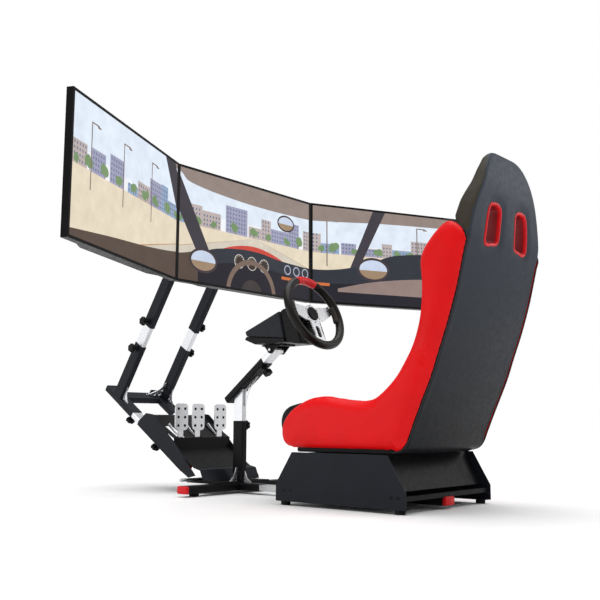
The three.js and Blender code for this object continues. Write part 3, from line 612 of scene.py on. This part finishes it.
def bolster(name, side):
    outline = np.concatenate([bolster_front[:-1], bolster_rear[:-1]])
    piece = prism(f"bolster_cover_{name}", outline, BOLSTER_INNER, BOLSTER_OUTER, red_leather)
    soften(piece, 5, 0)
    points = millimetres_of(piece)
    flat = points[:, 1:]
    front = distance_to_line(flat, bolster_front)
    rear = distance_to_line(flat, bolster_rear)
    outer = BOLSTER_OUTER - 27 * ball_edge(front, 46) - 13 * ball_edge(rear, 60)
    inner = BOLSTER_INNER + 34 * ball_edge(front, 40)
    behind = np.clip((30 - rear) / 4, 0, 1) * (flat[:, 1] < 800)
    below = np.clip((194 - flat[:, 1]) / 4, 0, 1)
    inner = np.maximum(inner, SEAM_X + 0.5 - 42 * (1 - np.maximum(behind, below)))
    place_in = (points[:, 0] - BOLSTER_INNER) / (BOLSTER_OUTER - BOLSTER_INNER)
    points[:, 0] = side * (inner + place_in * np.maximum(outer - inner, 1))
    move_to_millimetres(piece, points)
    if side < 0:
        piece.data.flip_normals()
    soften(piece, 5.5, 5)
    settled = millimetres_of(piece)
    free = np.clip(distance_to_line(settled[:, 1:], bolster_rear) / 24 - 0.15, 0, 1)[:, None]
    inflate(piece, 5, free)
    modify(piece, "SMOOTH", factor=0.5, iterations=2)
    modify(piece, "SUBSURF", levels=1, render_levels=1)
    bake(piece)
    smooth_shading(piece)
    return finish_piece(piece, "seat_unit", "red_vinyl", f"seat_bolster_{name}", pad=0.8)


for name, side in SIDES.items():
    bolster(name, side)
    seam = [place(side * (SEAM_X + 0.6), y, z) for y, z in bolster_rear]
    finish_piece(tube_along(f"seam_piping_{name}", seam, 2.0, seam_thread), "seat_unit", "slate_vinyl")

# ---------------------------------------------------------------- seat cushions

CUSHION_SIDE = [(104, 190), (300, 189), (480, 189), (520, 197), (548, 228), (556, 266), (541, 300),
                (500, 316), (400, 306), (250, 289), (130, 283), (96, 268), (92, 215)]
PAD_SIDE = [(66, 292), (20, 372), (-10, 430), (-36, 484), (-62, 544), (-94, 636), (-114, 720), (-122, 752),
            (-138, 766), (-160, 766), (-170, 741), (-143, 636), (-113, 544), (-82, 464), (-55, 393),
            (-10, 296), (18, 258), (52, 256)]

CUSHION_HALF = 178
SEAM_OFFSET = 118
SEAM_WIDE = 3.2
SEAM_DEEP = 3.2


def cushion(name, side_outline, node, seams):
    outline = curve_through(side_outline, 5, True)
    piece = prism(name, outline, -CUSHION_HALF, CUSHION_HALF, black_leather)
    soften(piece, 6, 2)
    points = millimetres_of(piece)
    near = distance_to_line(points[:, 1:], outline, True)
    points[:, 0] *= 1 - 0.075 * ball_edge(near, 22)
    move_to_millimetres(piece, points)
    soften(piece, 6, 5)
    inflate(piece, 9)
    modify(piece, "SUBSURF", levels=1, render_levels=1)
    bake(piece)
    points = millimetres_of(piece)
    normals = np.array([v.normal for v in piece.data.vertices])
    groove = np.zeros(len(points))
    for y, z, ny, nz in seams:
        off = np.abs((points[:, 1] - y) * ny + (points[:, 2] - z) * nz)
        groove = np.maximum(groove, np.exp(-((off / SEAM_WIDE) ** 2)))
    for x in (-SEAM_OFFSET, SEAM_OFFSET):
        off = np.abs(points[:, 0] - x)
        groove = np.maximum(groove, np.exp(-((off / SEAM_WIDE) ** 2)))
    points -= normals * groove[:, None] * SEAM_DEEP
    move_to_millimetres(piece, points)
    smooth_shading(piece)
    return finish_piece(piece, "seat_unit", "black_vinyl", node, pad=0.7)


cushion("cushion_cover", CUSHION_SIDE, "seat_cushion", [(y, 300, 1, 0) for y in (180, 260, 340, 420)])
cushion("back_pad_cover", PAD_SIDE, "seat_back_pad", [(0, z, 0, 1) for z in (360, 440, 520, 600, 680)])

# ---------------------------------------------------------------- star knobs

for child, joint in joints.items():
    if "knob" not in child:
        continue
    node = child.replace("_screw", "")
    at = axes_at(joint["pos_m"], joint["axis"], (0, 0, 1) if abs(joint["axis"][2]) < 0.7 else (0, 1, 0))
    head = [(6, 17, 1), (15, 17, 1), (17.6, 18.5, 1), (18.5, 21, 1), (18.5, 29, 1), (17.6, 31.5, 1),
            (15, 33, 1), (10, 32.2), (2, 32)]
    star = turned(f"{node}_head", head, at, black_plastic, 72, lambda a: 1 - 0.085 * (1 - math.cos(6 * a)))
    finish_piece(star, child, "black_plastic", node)
    stem = [(11.5, 0.4), (12, 1.2), (12, 4.4), (11, 5), (7.5, 5.2), (7.5, 9), (4, 9.2)]
    stem += [(4 - 0.5 * (i % 2), 9.5 + 0.6 * i) for i in range(13)]
    finish_piece(turned(f"{node}_stem", stem, at, black_plastic, 24), child, "black_plastic")

# ---------------------------------------------------------------- seat bottom and base trim


def disc(name, at, outward, profile, material, body, slot, count=28):
    piece = turned(name, profile, axes_at(at, outward, (0, 0, 1) if abs(outward[2]) < 0.7 else (1, 0, 0)),
                   material, count)
    return finish_piece(piece, body, slot)


SCREW_HEAD = [(5.2, -0.5), (5.2, 0.5), (4.7, 1.0), (3.4, 0.9), (2.6, 0.3), (0.8, 0.2)]
FOOT_SLEEVE = [(11, 0.3), (14.6, 0.8), (15.4, 2.2), (15.4, 9.5), (14.6, 11.2), (12, 11.6)]
BASE_SIDE = 246

block("seat_bottom_board", [(64, 166.6), (426, 166.6), (430, 174), (426, 184), (40, 184), (24, 180)],
      1 - SEAM_X, SEAM_X - 1, black_leather, 3, "seat_unit", "black_vinyl")
for name, side in SIDES.items():
    for i, y in enumerate((27, 51, 435, 461)):
        disc(f"base_screw_{name}_{i + 1}", place(side * BASE_SIDE, y, 46), (side, 0, 0), SCREW_HEAD,
             black_plastic, "seat_unit", "black_plastic")
    for i, y in enumerate((30, 467)):
        disc(f"foot_{name}_{i + 1}", place(side * (BASE_SIDE - 15), y, 0), (0, 0, 1), FOOT_SLEEVE, rubber,
             "seat_unit", "rim_rubber")
    disc(f"cross_foot_{name}", place(side * 225, COLUMN_Y, 0), (0, 0, 1),
         [(r * 1.12, h * 0.92) for r, h in FOOT_SLEEVE], rubber, "base", "rim_rubber")

# ---------------------------------------------------------------- end caps of the tubes

TUBE_WIDE = 51
TUBE_THIN = 26
CROSS_TUBE_HALF = 274


def rounded_box_ring(wide, tall, radius, count=5):
    ring = []
    for i, (cx, cy) in enumerate([(1, 1), (-1, 1), (-1, -1), (1, -1)]):
        for k in range(count):
            angle = math.pi / 2 * (i + k / (count - 1))
            ring.append((cx * (wide / 2 - radius) + radius * math.cos(angle),
                         cy * (tall / 2 - radius) + radius * math.sin(angle)))
    return ring


def tube_cap(name, at, outward, wide_along, material, body, slot, tall=9):
    """A plastic cap over a tube end, with a collar and a domed face."""
    levels = [(-2.0, -0.6), (-2.0, 0.6), (0.3, 1.0), (tall - 5, 1.0), (tall - 2.4, 0.2), (tall - 0.8, -2.0),
              (tall, -6.0)]
    rings = [(rounded_box_ring(TUBE_WIDE + grow, TUBE_THIN + grow, 5 + grow / 3), height)
             for height, grow in levels]
    return finish_piece(lofted(name, rings, axes_at(at, outward, wide_along), material), body, slot)


RAIL_SLOPE = math.radians(33)
RAIL_WAY = Vector((0, math.cos(RAIL_SLOPE), math.sin(RAIL_SLOPE)))
RAIL_UP = Vector((0, -math.sin(RAIL_SLOPE), math.cos(RAIL_SLOPE)))
RAIL_X = 107.5
RAIL_LINE = -517
POST_X = 120
POST_ALONG = 1450
ARM_END = {"left": 1526, "right": 1502}


def on_rail(x, along, up):
    y = along * math.cos(RAIL_SLOPE) - up * math.sin(RAIL_SLOPE)
    return place(x, y, along * math.sin(RAIL_SLOPE) + up * math.cos(RAIL_SLOPE))


for name, side in SIDES.items():
    tube_cap(f"cross_cap_{name}", place(side * CROSS_TUBE_HALF, COLUMN_Y, 24), (side, 0, 0), (0, 1, 0),
             red_plastic, "base", "red_vinyl")
    tube_cap(f"arm_cap_{name}", on_rail(side * RAIL_X, ARM_END[name], RAIL_LINE), RAIL_WAY, (1, 0, 0),
             black_plastic, "stand", "black_plastic", 6)
    tube_cap(f"rail_cap_{name}", on_rail(side * RAIL_X, 957, RAIL_LINE), -RAIL_WAY, (1, 0, 0), red_plastic,
             "base", "red_vinyl", 6)
tube_cap("chassis_cap", place(0, 14, 24), (0, -1, 0), (1, 0, 0), red_plastic, "seat_unit", "red_vinyl", 11)
ARM_SLOPE = math.radians(37)
tube_cap("steering_arm_cap", place(0, 957.5, 343.4), (0, math.cos(ARM_SLOPE), -math.sin(ARM_SLOPE)),
         (1, 0, 0), black_plastic, "steering_post", "black_plastic", 6)

# ---------------------------------------------------------------- gussets

RAIL_TOP = RAIL_LINE + TUBE_THIN / 2
FLOOR_TUBE_TOP = 37


def gusset(name, corner, along, up, long, tall, body):
    """A perforated corner brace with one leg along each way and a hollow curved edge between them."""
    steps = 14
    tip = 6
    edge = []
    for i in range(steps + 1):
        t = i / steps
        edge.append((tip + (long - tip) * (1 - t) ** 1.5, tip + (tall - tip) * t ** 1.5))
    outline = [(0, 0), (long, 0)] + edge + [(0, tall)]
    holes = [circle(0.20 * long, 0.17 * tall, 0.10 * long, 14),
             circle(0.13 * long, 0.44 * tall, 0.06 * long, 12),
             circle(0.48 * long, 0.11 * tall, 0.06 * long, 12)]
    matrix = axes_at(corner, Vector(along).cross(Vector(up)), along)
    return finish_piece(plate(name, outline, holes, 2.4, matrix, bright_tube, 0.4), body, "silver_tube")


half_wide = TUBE_WIDE / 2
for name, side in SIDES.items():
    corner = place(side * TUBE_THIN / 2, COLUMN_Y, FLOOR_TUBE_TOP)
    gusset(f"column_gusset_{name}", corner, (side, 0, 0), (0, 0, 1), 44, 56, "base")
gusset("column_gusset_rear", place(0, COLUMN_Y - half_wide, FLOOR_TUBE_TOP), (0, -1, 0), (0, 0, 1), 34, 42,
       "base")
for name, side in SIDES.items():
    corner = on_rail(side * POST_X, POST_ALONG - half_wide, RAIL_TOP)
    gusset(f"post_gusset_{name}", corner, -RAIL_WAY, RAIL_UP, 42, 58, "stand")
gusset("tie_gusset", on_rail(POST_X - TUBE_THIN / 2, POST_ALONG + 7, RAIL_TOP), (-1, 0, 0), RAIL_UP, 86, 66,
       "stand")

brace_edge = curve_through([(68, 45), (40, 14), (18, -20), (6, -63)], 6)
brace_outline = [(0, -63), (0, 0), (64, 48)] + [(x, y) for x, y in brace_edge]
brace_holes = [circle(12, -4, 5, 14), circle(28, 12, 4, 12), circle(8, -28, 3, 12)]
brace_at = axes_at(place(0, 883, 383), (-1, 0, 0), (0, -1, 0))
finish_piece(plate("steering_arm_gusset", brace_outline, brace_holes, 2.4, brace_at, bright_tube, 0.4),
             "steering_post", "silver_tube")

# ---------------------------------------------------------------- pedals

PEDALS = {"clutch": -105, "brake": -19, "throttle": 99}
PEDAL_Y = 1118
PAD_WIDE = 64
PAD_LOW = 228
PAD_TALL = 102
PEDAL_PIVOT = (1131, 184)
STUD = [(5.4, -2.4), (5.4, 0.4), (4.9, 1.2), (3.4, 1.8), (1, 2.0)]


def pedal(name, x):
    body, slot = name, "silver_tube"
    facing = (0, -1, 0)
    middle = place(x, PEDAL_Y + 1, PAD_LOW + PAD_TALL / 2)
    outline = rounded_box_ring(PAD_WIDE, PAD_TALL, 16, 8)
    pad = plate(f"{name}_pad", outline, [], 4, axes_at(middle, facing), bright_tube, 1)
    finish_piece(smooth_shading(pad, False), body, slot, f"{name}_pedal")
    for column in (-16.5, 16.5):
        for row, height in enumerate((-33, -1, 31)):
            at = place(x + column, PEDAL_Y - 1.2, PAD_LOW + PAD_TALL / 2 + height)
            stud = turned(f"{name}_stud_{'left' if column < 0 else 'right'}_{row + 1}", STUD,
                          axes_at(at, facing), rubber, 20)
            finish_piece(stud, body, "rim_rubber")
    stem = [(PEDAL_Y + 3.2, 300), (PEDAL_Y + 3.2, 204), (PEDAL_PIVOT[0] - 7, PEDAL_PIVOT[1]),
            (PEDAL_PIVOT[0] + 7, PEDAL_PIVOT[1]), (PEDAL_Y + 9, 208), (PEDAL_Y + 7, 300)]
    block(f"{name}_stem", stem, x - 13, x + 13, bright_tube, 0.8, body, slot)
    brace = [(PEDAL_Y + 4, 211), (PEDAL_Y + 12, 211), (PEDAL_Y + 62, 247), (PEDAL_Y + 54, 256)]
    block(f"{name}_brace", brace, x - 17, x - 12, bright_tube, 0.8, body, slot)
    bush = [(6, -13), (8.4, -13), (9, -12.4), (9, 12.4), (8.4, 13), (6, 13)]
    at = axes_at(place(x, *PEDAL_PIVOT), (1, 0, 0), (0, 0, 1))
    finish_piece(turned(f"{name}_bush", bush, at, steel, 28), body, "steel")


for name, x in PEDALS.items():
    pedal(name, x)

# ---------------------------------------------------------------- wheel base

upper = [(642, 652), (812, 588), (804, 570), (617, 553)]
tray = [(616.6, 552.4), (803, 569.4), (811, 558), (760, 538.8), (613, 538.8)]
nose = [(640.5, 652), (624, 660), (588, 655), (538, 536), (548, 529), (611, 538.8)]
block("wheel_base_cover", upper, -78, 78, slate_plastic, 6, "wheel_base", "slate_plastic", "wheel_base_shell")
block("wheel_base_tray", tray, -78, 78, black_plastic, 2.5, "wheel_base", "black_plastic")
block("wheel_base_front", nose, -74, 74, black_plastic, 7, "wheel_base", "black_plastic", "wheel_base_nose",
      segments=5)

# ---------------------------------------------------------------- steering wheel

WHEEL = axes_at(place(0, 541.5, 645), (0, -0.9178, 0.3971))
RIM_RADIUS = 130
RED_START, RED_END = 65, 110


def rim_part(name, start, end, reach, thickness, material, slot, *replaced):
    """A stretch of rim between two angles, in degrees from the driver's right, with rounded ends."""
    count = max(int(abs(end - start) / 3), 12)
    line, radii = [], []
    for i in range(count + 1):
        share = i / count
        angle = math.radians(start + (end - start) * share)
        line.append(WHEEL @ (Vector((math.cos(angle), math.sin(angle), 0)) * reach / 1000))
        near_end = min(share, 1 - share) * count
        radii.append(thickness * (0.9 if near_end < 0.5 else 1))
    finish_piece(tube_along(name, line, radii, material, sides=28), "steering_wheel", slot, *replaced)


rim_part("rim_grip", RED_END, RED_START + 360, RIM_RADIUS, 15.2, rim_leather, "rim_rubber", "wheel_rim")
rim_part("rim_top_marker", RED_START, RED_END, RIM_RADIUS, 14.5, red_plastic, "red_vinyl")
for name, middle in (("right", 0), ("left", 180)):
    rim_part(f"thumb_rest_{name}", middle - 16, middle + 16, 112, 10, grip_rubber, "rim_rubber")
hub = [(26.5, -9.4), (26.5, -6.8), (25.4, -5.4), (22, -4.6), (12, -4.1), (2, -4)]
finish_piece(turned("hub_cap", hub, WHEEL, black_plastic, 48), "steering_wheel", "black_plastic")
for i in range(6):
    angle = math.radians(30 + 60 * i)
    at = WHEEL @ Matrix.Translation((0.034 * math.cos(angle), 0.034 * math.sin(angle), -0.0088))
    bolt = turned(f"wheel_bolt_{i + 1}", [(2.8, -0.6), (2.8, 1.4), (2.4, 1.8), (1.2, 1.8), (0.8, 1.0)], at,
                  steel, 18)
    finish_piece(bolt, "steering_wheel", "steel")

# ---------------------------------------------------------------- pictures on the displays

# One made-up street, seen from inside a plain car, runs across the three displays. It is written in
# millimetres: X from the middle of the centre screen and Y up from the screens' lower edge.
SCREEN_WIDE = 708
SCREEN_TALL = 406
BEZEL = 9
DISPLAY_Y = 868.5
SCREEN_LOW = 758.6
HINGE = (365.5, 890.5)
HINGE_BACK = 22
WING_START = 9.4
WING_TURN = math.radians(25.75)
FULL = SCREEN_WIDE * 1.5
HORIZON = 205
FAR_POINT = (40, HORIZON)


def screen_matrix(side):
    """Puts X across a screen from its left edge, Y up and Z toward the driver."""
    if side == 0:
        return axes_at(place(-SCREEN_WIDE / 2, DISPLAY_Y, SCREEN_LOW), (0, -1, 0))
    c, s = math.cos(WING_TURN), math.sin(WING_TURN)
    across = Vector((c, -side * s, 0))
    back = Vector((side * s, c, 0))
    start = WING_START + BEZEL if side > 0 else -WING_START - BEZEL - SCREEN_WIDE
    at = Vector((side * HINGE[0], HINGE[1], 0)) + across * start - back * HINGE_BACK
    return axes_at(place(at.x, at.y, SCREEN_LOW), -back, across)


SCREENS = {
    "left": (screen_matrix(-1), -FULL, "left_wing"),
    "centre": (screen_matrix(0), -SCREEN_WIDE / 2, "displays"),
    "right": (screen_matrix(1), SCREEN_WIDE / 2, "right_wing"),
}


def glow(name, color):
    """A lit screen colour with a slight drift."""
    material = bpy.data.materials.new(name)
    material.use_nodes = True
    tree = material.node_tree
    shader = tree.nodes["Principled BSDF"]
    shader.inputs["Base Color"].default_value = (0.004, 0.004, 0.005, 1)
    shader.inputs["Roughness"].default_value = 0.5
    shader.inputs["Specular IOR Level"].default_value = 0.1
    where = tree.nodes.new("ShaderNodeTexCoord").outputs["Object"]
    drift = ramp(tree, noise(tree, where, 22), [(0.3, shade(color, 0.93)), (0.7, shade(color, 1.07))])
    tree.links.new(drift, shader.inputs["Emission Color"])
    shader.inputs["Emission Strength"].default_value = 1
    return material


def clipped(outline, axis, limit, keep_above):
    """The part of a convex or simple outline on one side of a line across an axis."""
    kept = []
    for a, b in zip(outline, outline[1:] + outline[:1]):
        inside_a = (a[axis] >= limit) == keep_above
        inside_b = (b[axis] >= limit) == keep_above
        if inside_a:
            kept.append(a)
        if inside_a != inside_b:
            t = (limit - a[axis]) / (b[axis] - a[axis])
            kept.append((a[0] + (b[0] - a[0]) * t, a[1] + (b[1] - a[1]) * t))
    return kept


def flat_shapes(name, outlines, front, matrix, material):
    """Thin closed shapes side by side, in one mesh, whose front is the given height over the screen."""
    vertices, faces = [], []
    for outline in outlines:
        more_vertices, more_faces = sheet([outline], front - 0.02, front, len(vertices))
        vertices += more_vertices
        faces += more_faces
    piece = mesh_piece(name, vertices, faces, material, smooth=False)
    piece.data.transform(matrix)
    return piece


layer_count = 0


def paint(name, color, outlines):
    """Draws shapes of one colour over all that was drawn before, on each screen that they reach."""
    global layer_count
    layer_count += 1
    front = -0.92 + 0.03 * layer_count
    material = glow(f"picture_{name}", color)
    for screen, (matrix, left, body) in SCREENS.items():
        here = []
        for outline in outlines:
            piece = [(x - left, y) for x, y in outline]
            for axis, limit, keep_above in ((0, 0, True), (0, SCREEN_WIDE, False), (1, 0, True),
                                            (1, SCREEN_TALL, False)):
                piece = clipped(piece, axis, limit, keep_above) if piece else piece
            if len(piece) > 2:
                here.append(piece)
        if here:
            finish_piece(flat_shapes(f"picture_{screen}_{name}", here, front, matrix, material), body,
                         "screen_glass")


def rectangle(left, low, right, high):
    return [(left, low), (right, low), (right, high), (left, high)]


def rising(points, base=0):
    """The area under a smooth line."""
    line = [tuple(point) for point in curve_through(points, 6)]
    return [(line[0][0], base)] + line + [(line[-1][0], base)]


def arch(x, y, outer, inner, start=0, end=180, count=30):
    """A stretch of ring between two radii."""
    turns = [math.radians(start + (end - start) * i / count) for i in range(count + 1)]
    far = [(x + outer * math.cos(a), y + outer * math.sin(a)) for a in turns]
    near = [(x + inner * math.cos(a), y + inner * math.sin(a)) for a in reversed(turns)]
    return far + near


def toward_far(bottom_x, near, far, width):
    """A strip on the ground from a point at the lower edge toward the far point. near and far run 0 to 1."""
    strip = []
    for share, way in ((near, 1), (near, -1), (far, -1), (far, 1)):
        x = bottom_x + (FAR_POINT[0] - bottom_x) * share + way * width * (1 - share) / 2
        strip.append((x, FAR_POINT[1] * share))
    return strip


def street():
    dice = random.Random(11)
    blocks = [[], [], []]
    windows, crowns, trunks = [], [], []
    x = -FULL
    while x < FULL:
        wide, tall = dice.uniform(50, 115), dice.uniform(26, 104)
        blocks[dice.randrange(3)].append(rectangle(x, HORIZON - 2, x + wide, HORIZON + tall))
        for column in range(int(wide / 15)):
            for row in range(int(tall / 16)):
                left, low = x + 7 + 15 * column, HORIZON + 8 + 16 * row
                windows.append(rectangle(left, low, left + 6, low + 8))
        x += wide + dice.choice((0, 0, 8, 26))
    for i in range(24):
        x = -FULL + 90 * i + dice.uniform(-24, 24)
        size = dice.uniform(13, 24)
        trunks.append(rectangle(x - 1.5, HORIZON - 4, x + 1.5, HORIZON + size))
        for _ in range(4):
            crowns.append(circle(x + dice.uniform(-0.7, 0.7) * size, HORIZON + size * dice.uniform(0.9, 1.6),
                                 size * 0.7, 14))
    return blocks, windows, crowns, trunks


def draw_pictures():
    blocks, windows, crowns, trunks = street()
    paint("sky", (0.76, 0.84, 0.95), [rectangle(-FULL, 0, FULL, SCREEN_TALL)])
    paint("haze", (0.86, 0.88, 0.92),
          [rising([(-FULL, 262), (-500, 240), (0, 256), (480, 244), (FULL, 260)])])
    tones = ((0.36, 0.36, 0.50), (0.52, 0.44, 0.42), (0.30, 0.40, 0.56))
    for tone, (color, outlines) in enumerate(zip(tones, blocks)):
        paint(f"buildings_{tone + 1}", color, outlines)
    paint("windows", (0.15, 0.19, 0.30), windows)
    paint("trunks", (0.16, 0.10, 0.07), trunks)
    paint("trees", (0.20, 0.31, 0.15), crowns)
    paint("pavement", (0.80, 0.70, 0.54), [rectangle(-FULL, 0, FULL, HORIZON)])
    paint("road", (0.66, 0.60, 0.50),
          [[(FAR_POINT[0] - 6, HORIZON), (-900, 0), (900, 0), (FAR_POINT[0] + 6, HORIZON)]])
    kerbs = [toward_far(bottom, 0, 0.97, 26) for bottom in (-900, 900)]
    paint("kerbs", (0.50, 0.30, 0.15), kerbs)
    dashes = [toward_far(bottom, start, start + 0.06, 20) for bottom in (-330, 330)
              for start in (0.0, 0.16, 0.32, 0.48, 0.64, 0.78, 0.88)]
    paint("lane_marks", (0.95, 0.93, 0.88), dashes)
    lamps = []
    for x in (-960, -760, -560, 420, 860):
        lamps += [rectangle(x - 2.5, 150, x + 2.5, 352), rectangle(x, 348, x + 42, 352),
                  rectangle(x + 32, 343, x + 52, 348)]
    paint("lamps", (0.20, 0.14, 0.12), lamps)
    paint("bonnet", (0.62, 0.07, 0.05),
          [rising([(-190, 120), (-90, 156), (20, 172), (130, 158), (240, 120)], 100)])


def draw_cabin():
    dials = (-52, 16, 84)
    dial_y = 104
    roof = [(-FULL, 430), (-430, 404), (-300, 358), (-80, 338), (160, 334), (420, 342), (700, 356),
            (FULL, 364)]
    paint("roof", (0.30, 0.24, 0.21), [rising(roof, SCREEN_TALL + 40)])
    paint("pillars", (0.055, 0.048, 0.060), [[(-455, 406), (-372, 406), (-208, 120), (-262, 96)],
                                             [(640, 406), (700, 406), (560, 130), (520, 130)]])
    door = [(-FULL, 20), (-820, 44), (-560, 66), (-330, 96), (-240, 128)]
    board = [(-262, 96), (-190, 130), (-60, 150), (60, 152), (190, 138), (420, 134), (600, 168), (760, 222),
             (FULL, 246)]
    paint("door", (0.10, 0.07, 0.055), [rising(door)])
    paint("dashboard", (0.034, 0.038, 0.050), [rising(board)])
    paint("dashboard_shade", (0.020, 0.018, 0.026),
          [rising([(-262, 60), (-60, 96), (140, 92), (420, 76), (FULL, 120)])])
    paint("door_trim", (0.30, 0.22, 0.20), [rising([(470, 58), (640, 96), (860, 122), (FULL, 128)], 44)])
    paint("trim", (0.64, 0.17, 0.05), [rectangle(186, 66, 432, 78)])
    paint("dial_rims", (0.66, 0.62, 0.56), [circle(x, dial_y, 27, 36) for x in dials])
    paint("dial_faces", (0.05, 0.035, 0.03), [circle(x, dial_y, 24, 36) for x in dials])
    ticks = []
    for x in dials:
        for i in range(9):
            turn = 210 - 30 * i
            ticks.append(arch(x, dial_y, 22, 18, turn - 2, turn + 2, 1))
    paint("dial_marks", (0.84, 0.80, 0.74), ticks)
    paint("vents", (0.42, 0.44, 0.55), [arch(x, 108, 20, 15, 0, 359, 36) for x in (222, 276, 330)])
    paint("car_wheel", (0.20, 0.14, 0.11), [arch(16, -18, 136, 116, 2, 178)])
    paint("car_wheel_hub", (0.055, 0.045, 0.045), [arch(16, -18, 58, 8, 2, 178)])
    oval = [(x * 1.5, y) for x, y in circle(0, 0, 1, 32)]
    mirrors = ((-236, 80, 46), (210, 296, 34), (640, 150, 52))
    paint("mirror_frames", (0.06, 0.045, 0.05), [[(x + u * size, y + v * size) for u, v in oval]
                                                  for x, y, size in mirrors])
    paint("mirror_glass", (0.60, 0.68, 0.84), [[(x + u * size * 0.86, y + v * size * 0.8) for u, v in oval]
                                               for x, y, size in mirrors])
    paint("mirror_ground", (0.36, 0.25, 0.16), [[(x + u * size * 0.86, y + min(v, -0.1) * size * 0.8)
                                                 for u, v in oval] for x, y, size in mirrors])


draw_pictures()
draw_cabin()

# ---------------------------------------------------------------- display backs

DISPLAY_DEEP = 46


def display_back(screen, matrix, body):
    """Vent slats and corner screws on the deep part of a housing."""
    rear = -DISPLAY_DEEP - 0.3
    for row, low in enumerate((44, 268)):
        slats = []
        for i in range(30):
            left = 186 + 11.4 * i
            slats.append([(left + x, low + 24 + y) for x, y in rounded_box_ring(5, 48, 2.4, 4)])
        lattice = flat_shapes(f"{screen}_vent_{row + 1}", slats, 0.8, Matrix.Translation((0, 0, rear / 1000)),
                              black_plastic)
        lattice.data.transform(matrix)
        finish_piece(lattice, body, "black_plastic")
    outward = -(matrix.to_3x3() @ Vector((0, 0, 1)))
    for i, (x, y) in enumerate(((170, 20), (538, 20), (170, 338), (538, 338))):
        at = matrix @ (Vector((x, y, -DISPLAY_DEEP)) / 1000)
        finish_piece(turned(f"{screen}_back_screw_{i + 1}", SCREW_HEAD, axes_at(at, outward, (0, 0, 1)),
                            steel, 24),
                     body, "steel")


for screen, (matrix, _, body) in SCREENS.items():
    display_back(screen, matrix, body)

# ---------------------------------------------------------------- stage, light and camera

FILL_LIGHT = 0.45
CAMERA_AT = (-2.2886, -2.0457, 0.2604)
CAMERA_TURN = math.radians(49.07)
CAMERA_LIFT = math.radians(8.19)
CAMERA_ROLL = math.radians(0.13)


def stage_floor():
    mesh = bpy.data.meshes.new("floor")
    size = 30
    mesh.from_pydata([(-size, -size, 0), (size, -size, 0), (size, size, 0), (-size, size, 0)], [],
                     [(0, 1, 2, 3)])
    floor = add_object("floor", mesh)
    floor.location.z = -0.0005
    mesh.materials.append(surface("pale_floor", (0.86, 0.86, 0.86), 0.7, uneven=0.03, tint=0.01))


def area_light(name, at, target, size, power, color=(1, 1, 1)):
    data = bpy.data.lights.new(name, "AREA")
    data.shape = "RECTANGLE"
    data.size, data.size_y = size
    data.energy = power
    data.color = color
    light = add_object(name, data)
    light.location = at
    light.rotation_euler = (Vector(target) - Vector(at)).to_track_quat("-Z", "Y").to_euler()


def lighting():
    world = bpy.data.worlds.new("studio")
    bpy.context.scene.world = world
    world.use_nodes = True
    tree = world.node_tree
    background = tree.nodes["Background"]
    background.inputs["Color"].default_value = (1, 1, 1, 1)
    seen = tree.nodes.new("ShaderNodeLightPath").outputs["Is Camera Ray"]
    tree.links.new(span(tree, seen, FILL_LIGHT, 1, 0, 1), background.inputs["Strength"])
    sun = bpy.data.lights.new("overhead", "SUN")
    sun.energy = 2.7
    sun.angle = math.radians(65)
    add_object("overhead", sun)
    area_light("front_left_softbox", (-3.2, 2.6, 1.2), (0, 0, 0.5), (3, 2.5), 30)
    area_light("rear_right_softbox", (3.2, -2.8, 2.2), (0, 0, 0.6), (2, 2), 30)


def camera():
    data = bpy.data.cameras.new("camera")
    data.lens = 50.84
    data.sensor_width = 36
    data.clip_start = 0.05
    data.clip_end = 100
    eye = add_object("camera", data)
    ahead = Vector((math.sin(CAMERA_TURN) * math.cos(CAMERA_LIFT),
                    math.cos(CAMERA_TURN) * math.cos(CAMERA_LIFT),
                    math.sin(CAMERA_LIFT)))
    right = ahead.cross(Vector((0, 0, 1))).normalized()
    up = right.cross(ahead)
    c, s = math.cos(CAMERA_ROLL), math.sin(CAMERA_ROLL)
    right, up = right * c + up * s, up * c - right * s
    eye.matrix_world = Matrix((
        (right.x, up.x, -ahead.x, CAMERA_AT[0]),
        (right.y, up.y, -ahead.y, CAMERA_AT[1]),
        (right.z, up.z, -ahead.z, CAMERA_AT[2]),
        (0, 0, 0, 1),
    ))
    bpy.context.scene.camera = eye


stage_floor()
lighting()
camera()
bpy.context.scene.view_settings.view_transform = "Standard"
